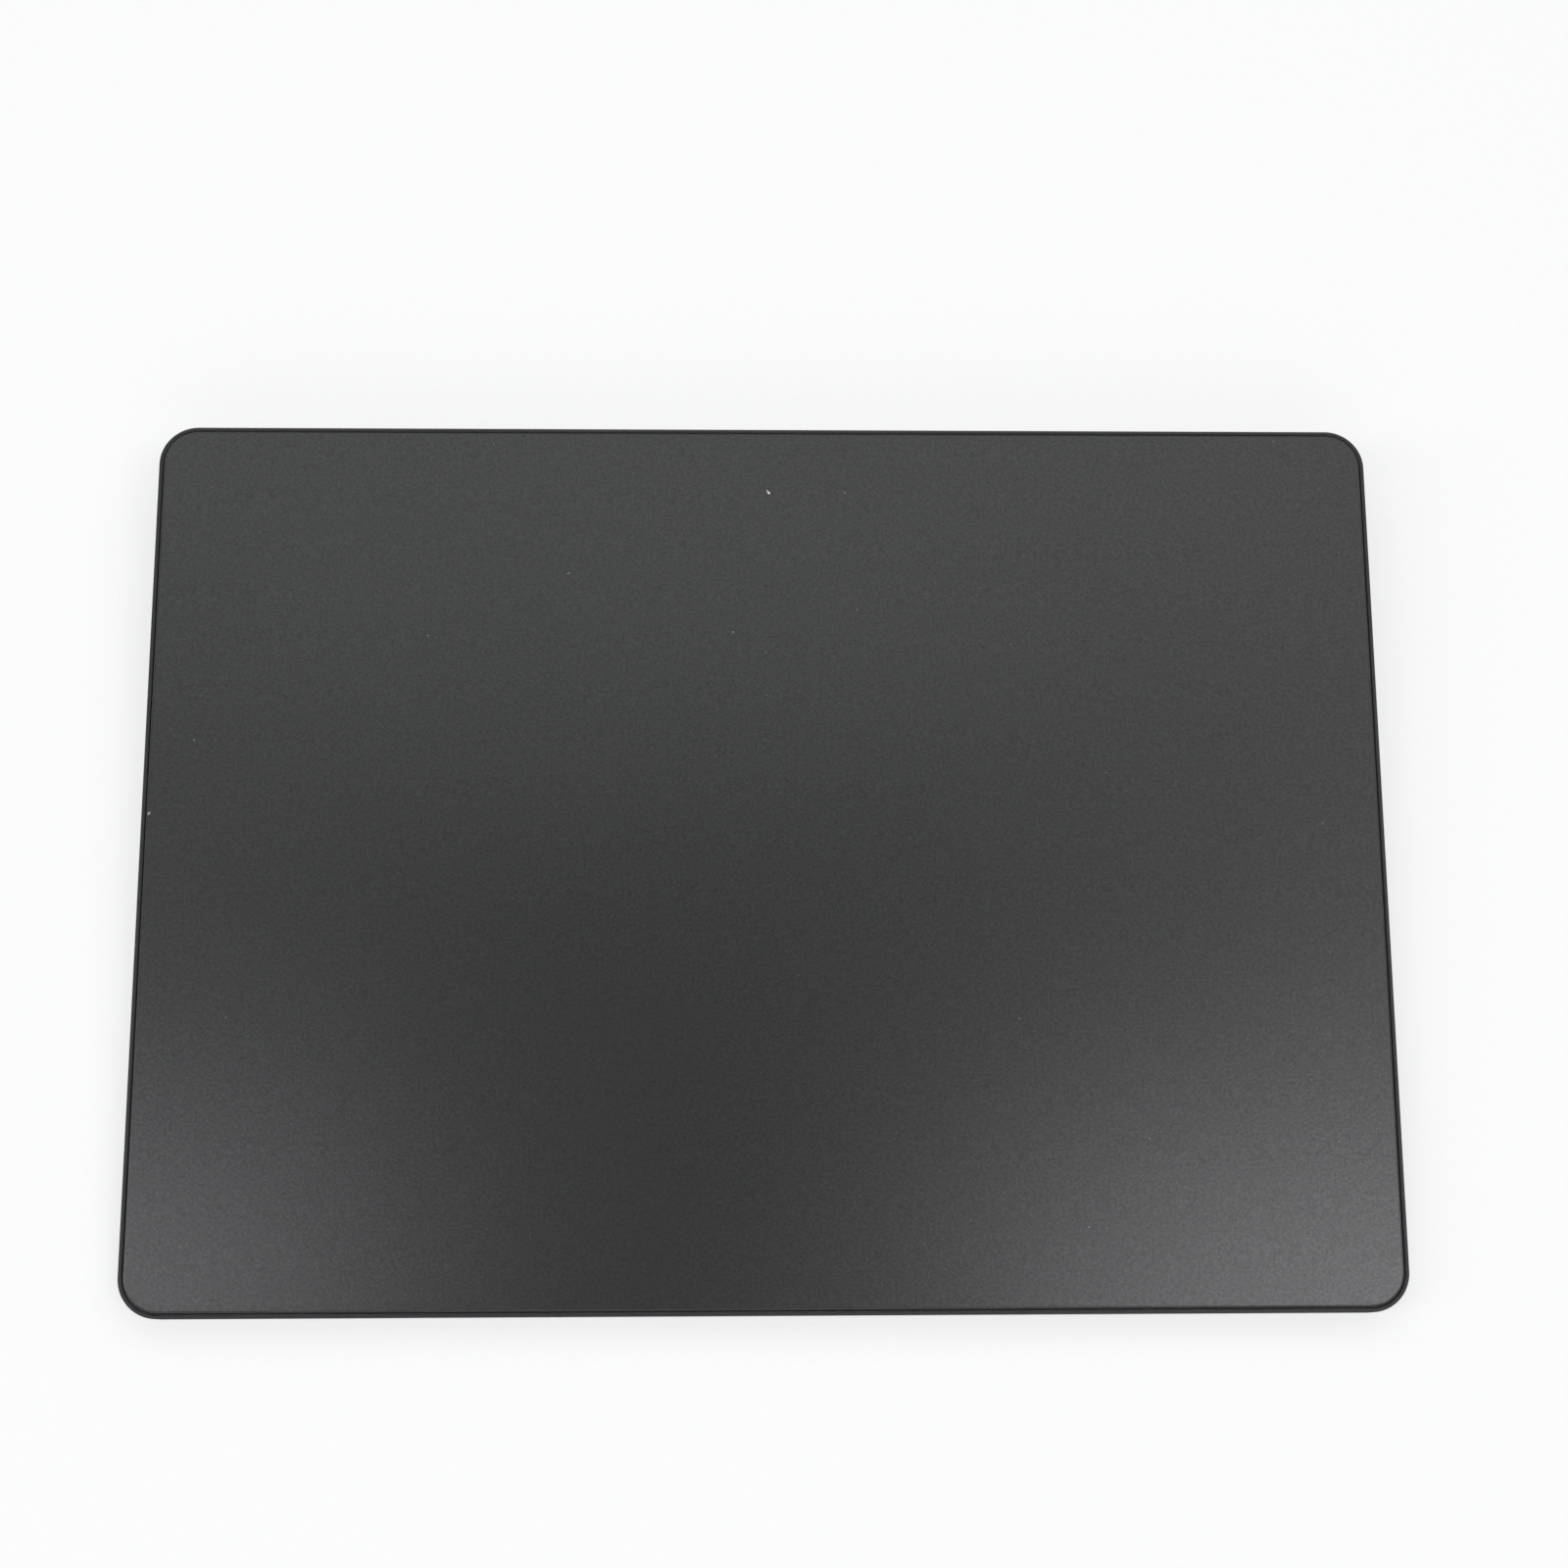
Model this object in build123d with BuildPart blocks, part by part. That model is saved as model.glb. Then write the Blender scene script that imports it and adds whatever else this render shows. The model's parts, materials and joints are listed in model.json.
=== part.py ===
from build123d import *
from math import atan2, cos, sin, tan
import os

os.makedirs("parts", exist_ok=True)

# A flat wedge-shaped desktop trackpad. The origin is the centre of its footprint on the desk.
# X runs along its width, +Y points to the thick rear edge with the port, and +Z points up.

# Overall form
width = 160.0
depth = 114.9
front_height = 4.9
rear_height = 10.9
corner_radius = 5.0
foot_proud = 0.5
cut_overrun = 2.0

# Enclosure
enclosure_wall = 1.6
floor_thickness = 0.7
base_round = 1.8
rim_round = 0.12
rim_wall = 0.35
glass_proud = 0.2
ledge_drop = 1.4
base_margin = 2.3
floor_window_gap = 4.0
floor_window_front = 9.8
floor_window_length = 18.0
floor_window_radius = 3.0
mouth_chamfer = 0.15

# Base cover, its adhesive sheet and the feet
cover_thickness = 0.8
cover_gap = 0.1
cover_round = 0.15
base_adhesive_thickness = 0.1
base_adhesive_margin = 0.5
foot_radius = 4.0
foot_seat_depth = 0.4
foot_seat_gap = 0.05
foot_round = 0.2
foot_inset = 12.0

# Touch stack, from the glass down
glass_thickness = 1.0
glass_bevel = 0.3
rim_gap = 0.28
glass_adhesive_thickness = 0.1
sensor_board_thickness = 0.6
sensor_board_margin = 2.0
stiffener_thickness = 0.4
stiffener_margin = 4.0
stiffener_edge_rib = 2.0
stiffener_rib = 8.0
stiffener_window_length = 16.0
stiffener_window_count = 4
stiffener_window_radius = 2.0
press_travel = 0.2

# Foam ring on the ledge
gasket_thickness = 0.15
gasket_width = 1.0
gasket_gap = 0.1

# Controllers under the sensor board
sensor_chip_size = 8.0
sensor_chip_height = 0.7
sensor_chip_spacing = 30.0
sensor_chip_count = 3
chip_window_gap = 0.5
chip_chamfer = 0.08

# Force flexures, with their heads, gel pads and gauges
gel_thickness = 0.3
gel_inset = 0.5
head_thickness = 0.3
head_width = 9.0
head_length = 8.0
flexure_thickness = 0.3
flexure_foot_width = 11.0
flexure_foot_length = 7.0
flexure_neck_width = 6.0
flexure_reach = 15.0
flexure_margin = 7.9
front_foot_setback = 7.9
rear_foot_setback = 19.9
gauge_width = 3.0
gauge_length = 4.0
gauge_thickness = 0.1
gauge_tail_width = 1.4
rivet_radius = 0.6
rivet_spacing = 5.0
rivet_head_radius = 0.95
rivet_head_height = 0.25

# Rubber stops under the touch stack
stop_radius = 1.5
stop_gap = 0.05
stop_front = 6.8

# Small screws
screw_head_radius = 1.2
screw_head_height = 0.3
screw_shank_radius = 0.7
screw_drive_width = 0.3
screw_drive_length = 1.4
screw_drive_depth = 0.15
screw_hole_extra = 0.1
flexure_screw_length = 1.1
flexure_screw_spacing = 7.0
haptic_screw_length = 1.0
haptic_screw_inset = 2.0
haptic_screw_gap = 0.45
board_screw_length = 1.5

# Haptic engine
engine_forward = 8.0
bracket_thickness = 0.4
bracket_radius = 1.0
bracket_end = 0.3
spine_width = 4.0
arm_reach = 17.0
arm_width = 4.0
arm_spacing = 8.4
arm_count = 3
pole_thickness = 1.2
pole_width = 6.6
coil_side = 1.5
coil_rise = 0.35
coil_lift = 0.1
coil_end_gap = 0.2
coil_top_gap = 0.35
air_gap = 0.35
bar_thickness = 2.0
bar_lift = 0.3
bar_flange_width = 7.0
bar_flange_thickness = 0.4

# Flat cables
flex_thickness = 0.12
haptic_flex_width = 3.0
touch_flex_width = 10.0
touch_flex_lead = 3.5

# Battery
battery_side_room = 19.4
battery_depth = 27.0
battery_rear_gap = 1.7
battery_top_gap = 0.35
battery_corner_radius = 2.0
battery_edge_round = 0.8
terrace_width = 3.5
terrace_length = 20.0
terrace_thickness = 0.5
terrace_gap = 0.5
tape_thickness = 0.12
tape_width = 8.0
tape_inset = 3.0
tab_thickness = 0.15
tab_width = 3.0
tab_spacing = 10.0
tab_lap = 2.4
tab_bend = 1.0
battery_board_width = 4.4
battery_board_thickness = 0.6
battery_flex_width = 3.0

# Logic board
board_side_room = 16.4
board_depth = 11.8
board_rear_gap = 0.85
board_thickness = 0.8
board_lift = 0.9
board_corner_radius = 1.0
standoff_radius = 1.8
board_screw_shares = [(-0.46, -0.245), (0.46, -0.245), (-0.208, 0.38), (0.2, 0.38)]
socket_width = 5.0
socket_length = 3.4
socket_share = 0.41
socket_depth_share = 0.18
touch_socket_height = 0.8
touch_socket_length = 4.0
touch_socket_share = 0.274
touch_socket_depth_share = -0.26
sensor_connector_height = 0.75

# Parts on the logic board
processor_size = 7.0
processor_height = 0.8
processor_shares = (-0.161, -0.02)
memory_width = 5.0
memory_length = 6.0
memory_height = 0.7
memory_shares = (-0.253, -0.02)
radio_size = 5.0
radio_height = 0.8
shield_width = 14.0
shield_length = 10.0
shield_height = 1.6
shield_wall = 0.2
shield_shares = (-0.371, 0.0)
charger_size = 4.0
charger_height = 0.7
charger_shares = (0.105, 0.1)
inductor_size = 3.0
inductor_height = 1.5
inductor_gap = 2.0
crystal_width = 2.5
crystal_length = 3.2
crystal_height = 0.7
crystal_gap = 2.0
capacitor_width = 1.0
capacitor_length = 0.5
capacitor_height = 0.5
capacitor_gap = 1.0
capacitor_spacing = 1.7
capacitor_rows = 4

# Charging port
port_width = 8.94
port_opening_height = 2.56
port_shell_wall = 0.35
port_length = 7.3
port_recess = 0.25
port_wall_gap = 0.12
port_base_length = 1.6
tongue_width = 6.69
tongue_length = 4.45
tongue_thickness = 0.6
contact_count = 12
contact_spacing = 0.5
contact_width = 0.26
contact_length = 3.6
contact_thickness = 0.05
contact_inset = 0.4
port_leg_length = 1.0
port_leg_inset = 1.2
port_leg_spacing = 3.2
port_leg_gap = 0.1
port_gasket_thickness = 0.6
port_gasket_width = 0.8

# Antenna
carrier_width = 10.0
carrier_length = 8.6
carrier_height = 4.4
carrier_wall = 0.8
carrier_side_gap = 2.4
carrier_rear_gap = 1.0
antenna_thickness = 0.1
antenna_inset = 0.8
antenna_track = 1.6
feed_width = 2.0
feed_thickness = 0.1
feed_lap = 1.5
feed_bend = 1.0

# Power switch
switch_share = 0.42
switch_travel = 2.0
knob_width = 4.0
knob_height = 2.4
knob_gap = 0.15
knob_recess = 0.1
knob_groove_width = 0.3
knob_groove_depth = 0.15
knob_groove_spacing = 0.8
knob_groove_count = 3
flange_side = 4.0
flange_rise = 1.0
flange_thickness = 0.5
flange_gap = 0.1
mark_thickness = 0.05
mark_inset = 0.1
guide_gap = 0.1
guide_frame = 0.7
guide_thickness = 0.7
switch_body_width = 7.0
switch_body_length = 3.0
switch_body_height = 2.8
switch_body_gap = 0.75
plunger_width = 1.4
plunger_height = 1.2
plunger_depth = 1.1
plunger_gap = 0.1
prong_width = 0.6
prong_gap = 0.05

# The sloped top: every drop is measured square to it, downward from the glass
slope = atan2(rear_height - front_height, depth)
mid_height = (front_height + rear_height) / 2
deck = Plane(origin=(0, 0, mid_height), x_dir=(1, 0, 0), z_dir=(0, -sin(slope), cos(slope)))
deck_normal = Axis(deck.origin, deck.z_dir)

sensor_board_drop = glass_thickness + glass_adhesive_thickness
stiffener_drop = sensor_board_drop + sensor_board_thickness
stack_drop = stiffener_drop + stiffener_thickness
head_drop = stack_drop + gel_thickness
flexure_drop = head_drop + head_thickness
flexure_bottom_drop = flexure_drop + flexure_thickness


def deck_height(y, drop):
    """Height above the desk of the plane that lies a drop under the glass, at depth y."""
    return mid_height + y * tan(slope) - drop / cos(slope)


def inset_outline(margin):
    """Outline of the body drawn in by a margin, on a level plane."""
    return RectangleRounded(width - 2 * margin, depth - 2 * margin, corner_radius - margin)


def sloped_outline(margin):
    """Outline of the body drawn in by a margin, on a plane that follows the sloped top."""
    return RectangleRounded(width - 2 * margin, (depth - 2 * margin) / cos(slope), corner_radius - margin)


# Levels above the desk
floor_bottom = foot_proud + cover_thickness + base_adhesive_thickness
floor_top = floor_bottom + floor_thickness
board_bottom = floor_top + board_lift
board_top = board_bottom + board_thickness
port_height = board_top + port_opening_height / 2 + port_shell_wall

# Places from the rear wall forward
inner_half_width = width / 2 - enclosure_wall
inner_half_depth = depth / 2 - enclosure_wall
board_rear_y = inner_half_depth - board_rear_gap
board_y = board_rear_y - board_depth / 2
board_width = 2 * (inner_half_width - board_side_room)
battery_rear_y = board_rear_y - board_depth - battery_rear_gap
battery_front_y = battery_rear_y - battery_depth
battery_y = (battery_front_y + battery_rear_y) / 2

# Haptic engine: its footprint follows its arms, air gaps, bars and screws
bar_inner_x = arm_reach + air_gap
haptic_screw_x = bar_inner_x + bar_thickness + haptic_screw_gap + screw_head_radius
bracket_width = 2 * (haptic_screw_x + haptic_screw_inset)
bracket_length = (arm_count - 1) * arm_spacing + pole_width + 2 * bracket_end
haptic_screw_y = bracket_length / 2 - haptic_screw_inset
engine_y = -engine_forward
engine_rear_y = engine_y + bracket_length / 2
engine_front_y = engine_y - bracket_length / 2
sensor_chip_y = (battery_front_y + engine_rear_y) / 2
haptic_screw_places = [
    (side * haptic_screw_x, engine_y + end * haptic_screw_y) for side in (-1, 1) for end in (-1, 1)
]

# Places of the four flexures, mirrored about the middle
flexure_x = inner_half_width - flexure_margin
front_foot_y = -(inner_half_depth - front_foot_setback)
rear_foot_y = inner_half_depth - rear_foot_setback
front_head_y = front_foot_y + flexure_reach
rear_head_y = rear_foot_y - flexure_reach
foot_plate_places = [(side * flexure_x, y) for side in (-1, 1) for y in (front_foot_y, rear_foot_y)]
head_places = [(side * flexure_x, y) for side in (-1, 1) for y in (front_head_y, rear_head_y)]
flexure_spans = [(front_foot_y, front_head_y, 1), (rear_foot_y, rear_head_y, -1)]
flexure_screw_places = [
    (x + side * flexure_screw_spacing / 2, y) for x, y in foot_plate_places for side in (-1, 1)
]
rivet_places = [(x + side * rivet_spacing / 2, y) for x, y in head_places for side in (-1, 1)]

# Corridor beside the battery, where the flat cables run
battery_half_width = inner_half_width - battery_side_room
corridor_x = (battery_half_width + flexure_x - flexure_foot_width / 2) / 2


def board_place(shares):
    """Point on the logic board, from shares of its width and depth."""
    return (shares[0] * board_width, board_y + shares[1] * board_depth)


def hanging_screws(plane, places, shank_length):
    """Cheese-head screws with a cross recess, seated on a plane."""
    with BuildPart() as screws:
        with BuildSketch(plane):
            with Locations(*places):
                Circle(screw_head_radius)
        extrude(amount=screw_head_height)
        with BuildSketch(plane):
            with Locations(*places):
                Circle(screw_shank_radius)
        extrude(amount=-shank_length)
        with BuildSketch(plane.offset(screw_head_height)):
            with Locations(*places):
                Rectangle(screw_drive_length, screw_drive_width)
                Rectangle(screw_drive_width, screw_drive_length)
        extrude(amount=-screw_drive_depth, mode=Mode.SUBTRACT)
    return screws


def board_chips(places, chip_width, chip_length, chip_height):
    """Packages soldered on top of the logic board, with eased upper edges."""
    with BuildPart() as chips:
        with BuildSketch(Plane.XY.offset(board_top)):
            with Locations(*places):
                Rectangle(chip_width, chip_length)
        extrude(amount=chip_height)
        chamfer(chips.edges().group_by(Axis.Z)[-1], chip_chamfer)
    return chips


# Enclosure: one piece with walls, rim, glass ledge, floor and seats
flexure_seat = deck.offset(-flexure_bottom_drop)
board_screw_places = [board_place(shares) for shares in board_screw_shares]
floor_window_inner = bracket_width / 2 + floor_window_gap
floor_window_outer = flexure_x - flexure_foot_width / 2 - floor_window_gap
floor_window_width = floor_window_outer - floor_window_inner
floor_window_x = (floor_window_inner + floor_window_outer) / 2
floor_window_y = floor_window_front + floor_window_length / 2 - inner_half_depth
floor_window_places = [(side * floor_window_x, floor_window_y) for side in (-1, 1)]
rear_face = Plane.XZ.offset(-depth / 2)
switch_x = switch_share * board_width
knob_x = switch_x - switch_travel / 2


def rear_mouths(margin):
    """Mouths of the port and of the switch in the rear face, widened by a margin."""
    port_reach = port_wall_gap + margin
    knob_reach = knob_gap + margin
    with Locations((0, port_height)):
        SlotOverall(port_width + 2 * port_reach, 2 * (port_height - board_top + port_reach))
    with Locations((switch_x, port_height)):
        SlotOverall(knob_width + switch_travel + 2 * knob_reach, knob_height + 2 * knob_reach)


with BuildPart() as flexure_pads:
    with BuildSketch(flexure_seat):
        with Locations(*foot_plate_places):
            Rectangle(flexure_foot_width, flexure_foot_length)
    extrude(amount=-rear_height)
    split(bisect_by=Plane.XY.offset(floor_bottom), keep=Keep.TOP)

with BuildPart() as enclosure:
    with BuildSketch(Plane.XY.offset(foot_proud)):
        inset_outline(0)
    extrude(amount=rear_height)
    split(bisect_by=deck.offset(-glass_proud), keep=Keep.BOTTOM)
    fillet(enclosure.faces().sort_by(Axis.Z)[0].edges(), base_round)
    fillet(enclosure.faces().sort_by(deck_normal)[-1].edges(), rim_round)
    with BuildSketch(Plane.XY.offset(foot_proud)):
        inset_outline(base_margin)
    extrude(amount=floor_bottom - foot_proud, mode=Mode.SUBTRACT)
    with BuildSketch(Plane.XY.offset(floor_top)):
        inset_outline(enclosure_wall)
    extrude(amount=rear_height, mode=Mode.SUBTRACT)
    with BuildSketch(deck.offset(-ledge_drop)):
        sloped_outline(rim_wall)
    extrude(amount=ledge_drop + cut_overrun, mode=Mode.SUBTRACT)
    add(flexure_pads.part)
    with BuildSketch(flexure_seat):
        with Locations(*flexure_screw_places):
            Circle(screw_shank_radius)
    extrude(amount=flexure_thickness - flexure_screw_length - screw_hole_extra, mode=Mode.SUBTRACT)
    with BuildSketch(Plane.XY.offset(floor_top)):
        with Locations(*board_screw_places):
            Circle(standoff_radius)
    extrude(amount=board_lift)
    with BuildSketch(Plane.XY.offset(board_bottom)):
        with Locations(*board_screw_places):
            Circle(screw_shank_radius)
    extrude(amount=board_thickness - board_screw_length - screw_hole_extra, mode=Mode.SUBTRACT)
    with BuildSketch(Plane.XY.offset(floor_top)):
        with Locations(*haptic_screw_places):
            Circle(screw_shank_radius)
    extrude(amount=bracket_thickness - haptic_screw_length - screw_hole_extra, mode=Mode.SUBTRACT)
    with BuildSketch(Plane.XY.offset(floor_top)):
        with Locations(*floor_window_places):
            RectangleRounded(floor_window_width, floor_window_length, floor_window_radius)
    extrude(amount=-floor_thickness, mode=Mode.SUBTRACT)
    with BuildSketch(rear_face):
        rear_mouths(0)
    extrude(amount=enclosure_wall, mode=Mode.SUBTRACT)
    with BuildSketch(rear_face):
        rear_mouths(mouth_chamfer)
    extrude(amount=mouth_chamfer, taper=45, mode=Mode.SUBTRACT)
enclosure.part.label = "enclosure"
export_step(enclosure.part, "parts/enclosure.step")

# Base cover, set into the underside on its adhesive sheet
foot_places = [
    (side * (width / 2 - foot_inset), end * (depth / 2 - foot_inset)) for side in (-1, 1) for end in (-1, 1)
]

with BuildPart() as base_cover:
    with BuildSketch(Plane.XY.offset(foot_proud)):
        inset_outline(base_margin + cover_gap)
    extrude(amount=cover_thickness)
    fillet(base_cover.faces().sort_by(Axis.Z)[0].edges(), cover_round)
    with BuildSketch(Plane.XY.offset(foot_proud)):
        with Locations(*foot_places):
            Circle(foot_radius + foot_seat_gap)
    extrude(amount=foot_seat_depth, mode=Mode.SUBTRACT)
base_cover.part.label = "base_cover"
export_step(base_cover.part, "parts/base_cover.step")

with BuildPart() as base_adhesive:
    with BuildSketch(Plane.XY.offset(floor_bottom)):
        inset_outline(base_margin + base_adhesive_margin)
        with Locations(*floor_window_places):
            RectangleRounded(
                floor_window_width, floor_window_length, floor_window_radius, mode=Mode.SUBTRACT
            )
    extrude(amount=-base_adhesive_thickness)
base_adhesive.part.label = "base_adhesive"
export_step(base_adhesive.part, "parts/base_adhesive.step")

# Four round rubber feet in seats in the base cover
foot_names = ["foot_front_left", "foot_rear_left", "foot_front_right", "foot_rear_right"]

for foot_name, place in zip(foot_names, foot_places):
    with BuildPart() as rubber_foot:
        with BuildSketch(Plane.XY.offset(foot_proud + foot_seat_depth)):
            with Locations(place):
                Circle(foot_radius)
        extrude(amount=-(foot_proud + foot_seat_depth))
        fillet(rubber_foot.faces().sort_by(Axis.Z)[0].edges(), foot_round)
    rubber_foot.part.label = foot_name
    export_step(rubber_foot.part, f"parts/{foot_name}.step")

# Touch glass, with a rounded upper edge
with BuildPart() as touch_glass:
    with BuildSketch(deck):
        sloped_outline(rim_wall + rim_gap)
    extrude(amount=-glass_thickness)
    fillet(touch_glass.faces().sort_by(deck_normal)[-1].edges(), glass_bevel)
touch_glass.part.label = "touch_glass"
export_step(touch_glass.part, "parts/touch_glass.step")

with BuildPart() as glass_adhesive:
    with BuildSketch(deck.offset(-glass_thickness)):
        sloped_outline(sensor_board_margin)
    extrude(amount=-glass_adhesive_thickness)
glass_adhesive.part.label = "glass_adhesive"
export_step(glass_adhesive.part, "parts/glass_adhesive.step")

# Sensor board under the whole glass, and what is soldered to its underside
with BuildPart() as sensor_board:
    with BuildSketch(deck.offset(-sensor_board_drop)):
        sloped_outline(sensor_board_margin)
    extrude(amount=-sensor_board_thickness)
sensor_board.part.label = "sensor_board"
export_step(sensor_board.part, "parts/sensor_board.step")

with BuildPart() as sensor_chips:
    with BuildSketch(deck.offset(-stiffener_drop)):
        with Locations((0, sensor_chip_y)):
            with GridLocations(sensor_chip_spacing, 0, sensor_chip_count, 1):
                Rectangle(sensor_chip_size, sensor_chip_size)
    extrude(amount=-sensor_chip_height)
    chamfer(sensor_chips.edges().group_by(deck_normal)[0], chip_chamfer)
sensor_chips.part.label = "sensor_chips"
export_step(sensor_chips.part, "parts/sensor_chips.step")

touch_flex_x = touch_socket_share * board_width
touch_flex_y = board_y + touch_socket_depth_share * board_depth
touch_flex_front_y = touch_flex_y - touch_socket_length / 2
touch_flex_top = deck_height(touch_flex_front_y, stiffener_drop) - sensor_connector_height

with BuildPart() as sensor_connector:
    with BuildSketch(Plane.XY.offset(touch_flex_top)):
        with Locations((touch_flex_x, touch_flex_y)):
            Rectangle(touch_flex_width, touch_socket_length)
    extrude(amount=rear_height)
    split(bisect_by=deck.offset(-stiffener_drop), keep=Keep.BOTTOM)
sensor_connector.part.label = "sensor_connector"
export_step(sensor_connector.part, "parts/sensor_connector.step")

# Stiffener plate bonded under the sensor board, open round the chips and the connector
chip_window = sensor_chip_size + 2 * chip_window_gap
stiffener_window_zone = 2 * (flexure_x - head_width / 2 - stiffener_edge_rib)
stiffener_window_spacing = (stiffener_window_zone + stiffener_rib) / stiffener_window_count

with BuildPart() as stiffener_plate:
    with BuildSketch(deck.offset(-stiffener_drop)):
        RectangleRounded(
            width - 2 * stiffener_margin,
            (depth - 2 * stiffener_margin) / cos(slope),
            corner_radius - sensor_board_margin,
        )
        with Locations((0, sensor_chip_y)):
            with GridLocations(sensor_chip_spacing, 0, sensor_chip_count, 1):
                Rectangle(chip_window, chip_window, mode=Mode.SUBTRACT)
        with Locations((touch_flex_x, touch_flex_y)):
            Rectangle(
                touch_flex_width + 2 * chip_window_gap,
                touch_socket_length + 2 * chip_window_gap,
                mode=Mode.SUBTRACT,
            )
        with Locations((0, floor_window_y), (0, battery_y)):
            with GridLocations(stiffener_window_spacing, 0, stiffener_window_count, 1):
                RectangleRounded(
                    stiffener_window_spacing - stiffener_rib,
                    stiffener_window_length,
                    stiffener_window_radius,
                    mode=Mode.SUBTRACT,
                )
    extrude(amount=-stiffener_thickness)
stiffener_plate.part.label = "stiffener_plate"
export_step(stiffener_plate.part, "parts/stiffener_plate.step")

# Foam ring on the ledge under the edge of the glass
with BuildPart() as dust_gasket:
    with BuildSketch(deck.offset(-ledge_drop)):
        sloped_outline(rim_wall + gasket_gap)
        with BuildSketch(mode=Mode.SUBTRACT):
            sloped_outline(rim_wall + gasket_gap + gasket_width)
    extrude(amount=gasket_thickness)
dust_gasket.part.label = "dust_gasket"
export_step(dust_gasket.part, "parts/dust_gasket.step")

# Force flexures: thin strips from a screwed foot over a neck to a riveted head
with BuildPart() as force_flexures:
    with BuildSketch(deck.offset(-flexure_drop)):
        with Locations(*foot_plate_places):
            Rectangle(flexure_foot_width, flexure_foot_length)
        with Locations(*head_places):
            Rectangle(head_width, head_length)
        for foot_y, head_y, _ in flexure_spans:
            with Locations((-flexure_x, (foot_y + head_y) / 2), (flexure_x, (foot_y + head_y) / 2)):
                Rectangle(flexure_neck_width, flexure_reach)
        with Locations(*flexure_screw_places):
            Circle(screw_shank_radius, mode=Mode.SUBTRACT)
        with Locations(*rivet_places):
            Circle(rivet_radius, mode=Mode.SUBTRACT)
    extrude(amount=-flexure_thickness)
force_flexures.part.label = "force_flexures"
export_step(force_flexures.part, "parts/force_flexures.step")

flexure_screws = hanging_screws(deck.offset(-flexure_drop), flexure_screw_places, flexure_screw_length)
flexure_screws.part.label = "flexure_screws"
export_step(flexure_screws.part, "parts/flexure_screws.step")

# Strain gauges on the necks, each with a tail that leads over the foot between its screws
neck_length = flexure_reach - (flexure_foot_length + head_length) / 2

with BuildPart() as strain_gauges:
    with BuildSketch(deck.offset(-flexure_drop)):
        for foot_y, head_y, direction in flexure_spans:
            gauge_y = foot_y + direction * (flexure_foot_length + neck_length) / 2
            tail_length = direction * (gauge_y - foot_y)
            with Locations((-flexure_x, gauge_y), (flexure_x, gauge_y)):
                Rectangle(gauge_width, gauge_length)
            with Locations((-flexure_x, (gauge_y + foot_y) / 2), (flexure_x, (gauge_y + foot_y) / 2)):
                Rectangle(gauge_tail_width, tail_length)
    extrude(amount=gauge_thickness)
strain_gauges.part.label = "strain_gauges"
export_step(strain_gauges.part, "parts/strain_gauges.step")

# Heads on the strips, riveted through them, with gel pads that carry the stiffener
with BuildPart() as flexure_heads:
    with BuildSketch(deck.offset(-head_drop)):
        with Locations(*head_places):
            Rectangle(head_width, head_length)
        with Locations(*rivet_places):
            Circle(rivet_radius, mode=Mode.SUBTRACT)
    extrude(amount=-head_thickness)
flexure_heads.part.label = "flexure_heads"
export_step(flexure_heads.part, "parts/flexure_heads.step")

with BuildPart() as head_rivets:
    with BuildSketch(deck.offset(-head_drop)):
        with Locations(*rivet_places):
            Circle(rivet_radius)
    extrude(amount=-(head_thickness + flexure_thickness))
    with BuildSketch(flexure_seat):
        with Locations(*rivet_places):
            Circle(rivet_head_radius)
    extrude(amount=-rivet_head_height)
head_rivets.part.label = "head_rivets"
export_step(head_rivets.part, "parts/head_rivets.step")

with BuildPart() as gel_pads:
    with BuildSketch(deck.offset(-stack_drop)):
        with Locations(*head_places):
            Rectangle(head_width - 2 * gel_inset, head_length - 2 * gel_inset)
    extrude(amount=-gel_thickness)
gel_pads.part.label = "gel_pads"
export_step(gel_pads.part, "parts/gel_pads.step")

# Rubber stops that stand on the floor and end the travel of the touch stack
stop_places = [(side * floor_window_x, stop_front - inner_half_depth) for side in (-1, 1)]
stop_places += [(side * flexure_x, (front_head_y + rear_head_y) / 2) for side in (-1, 1)]

with BuildPart() as press_stops:
    with BuildSketch(Plane.XY.offset(floor_top)):
        with Locations(*stop_places):
            Circle(stop_radius)
    extrude(amount=rear_height)
    split(bisect_by=deck.offset(-(stack_drop + press_travel + stop_gap)), keep=Keep.BOTTOM)
press_stops.part.label = "press_stops"
export_step(press_stops.part, "parts/press_stops.step")

# Haptic engine: bracket, comb-shaped core with a pole on each arm, and a coil round each arm
bracket_top = floor_top + bracket_thickness
coil_bottom = bracket_top + coil_lift
coil_top = deck_height(engine_front_y, stack_drop) - press_travel - coil_top_gap
arm_bottom = coil_bottom + coil_rise
arm_top = coil_top - coil_rise
arm_middle = (coil_bottom + coil_top) / 2
pole_x = arm_reach - pole_thickness
coil_start = spine_width / 2 + coil_end_gap
coil_length = pole_x - coil_end_gap - coil_start

with BuildPart() as haptic_bracket:
    with BuildSketch(Plane.XY.offset(floor_top)):
        with Locations((0, engine_y)):
            RectangleRounded(bracket_width, bracket_length, bracket_radius)
        with Locations(*haptic_screw_places):
            Circle(screw_shank_radius, mode=Mode.SUBTRACT)
    extrude(amount=bracket_thickness)
haptic_bracket.part.label = "haptic_bracket"
export_step(haptic_bracket.part, "parts/haptic_bracket.step")

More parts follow.
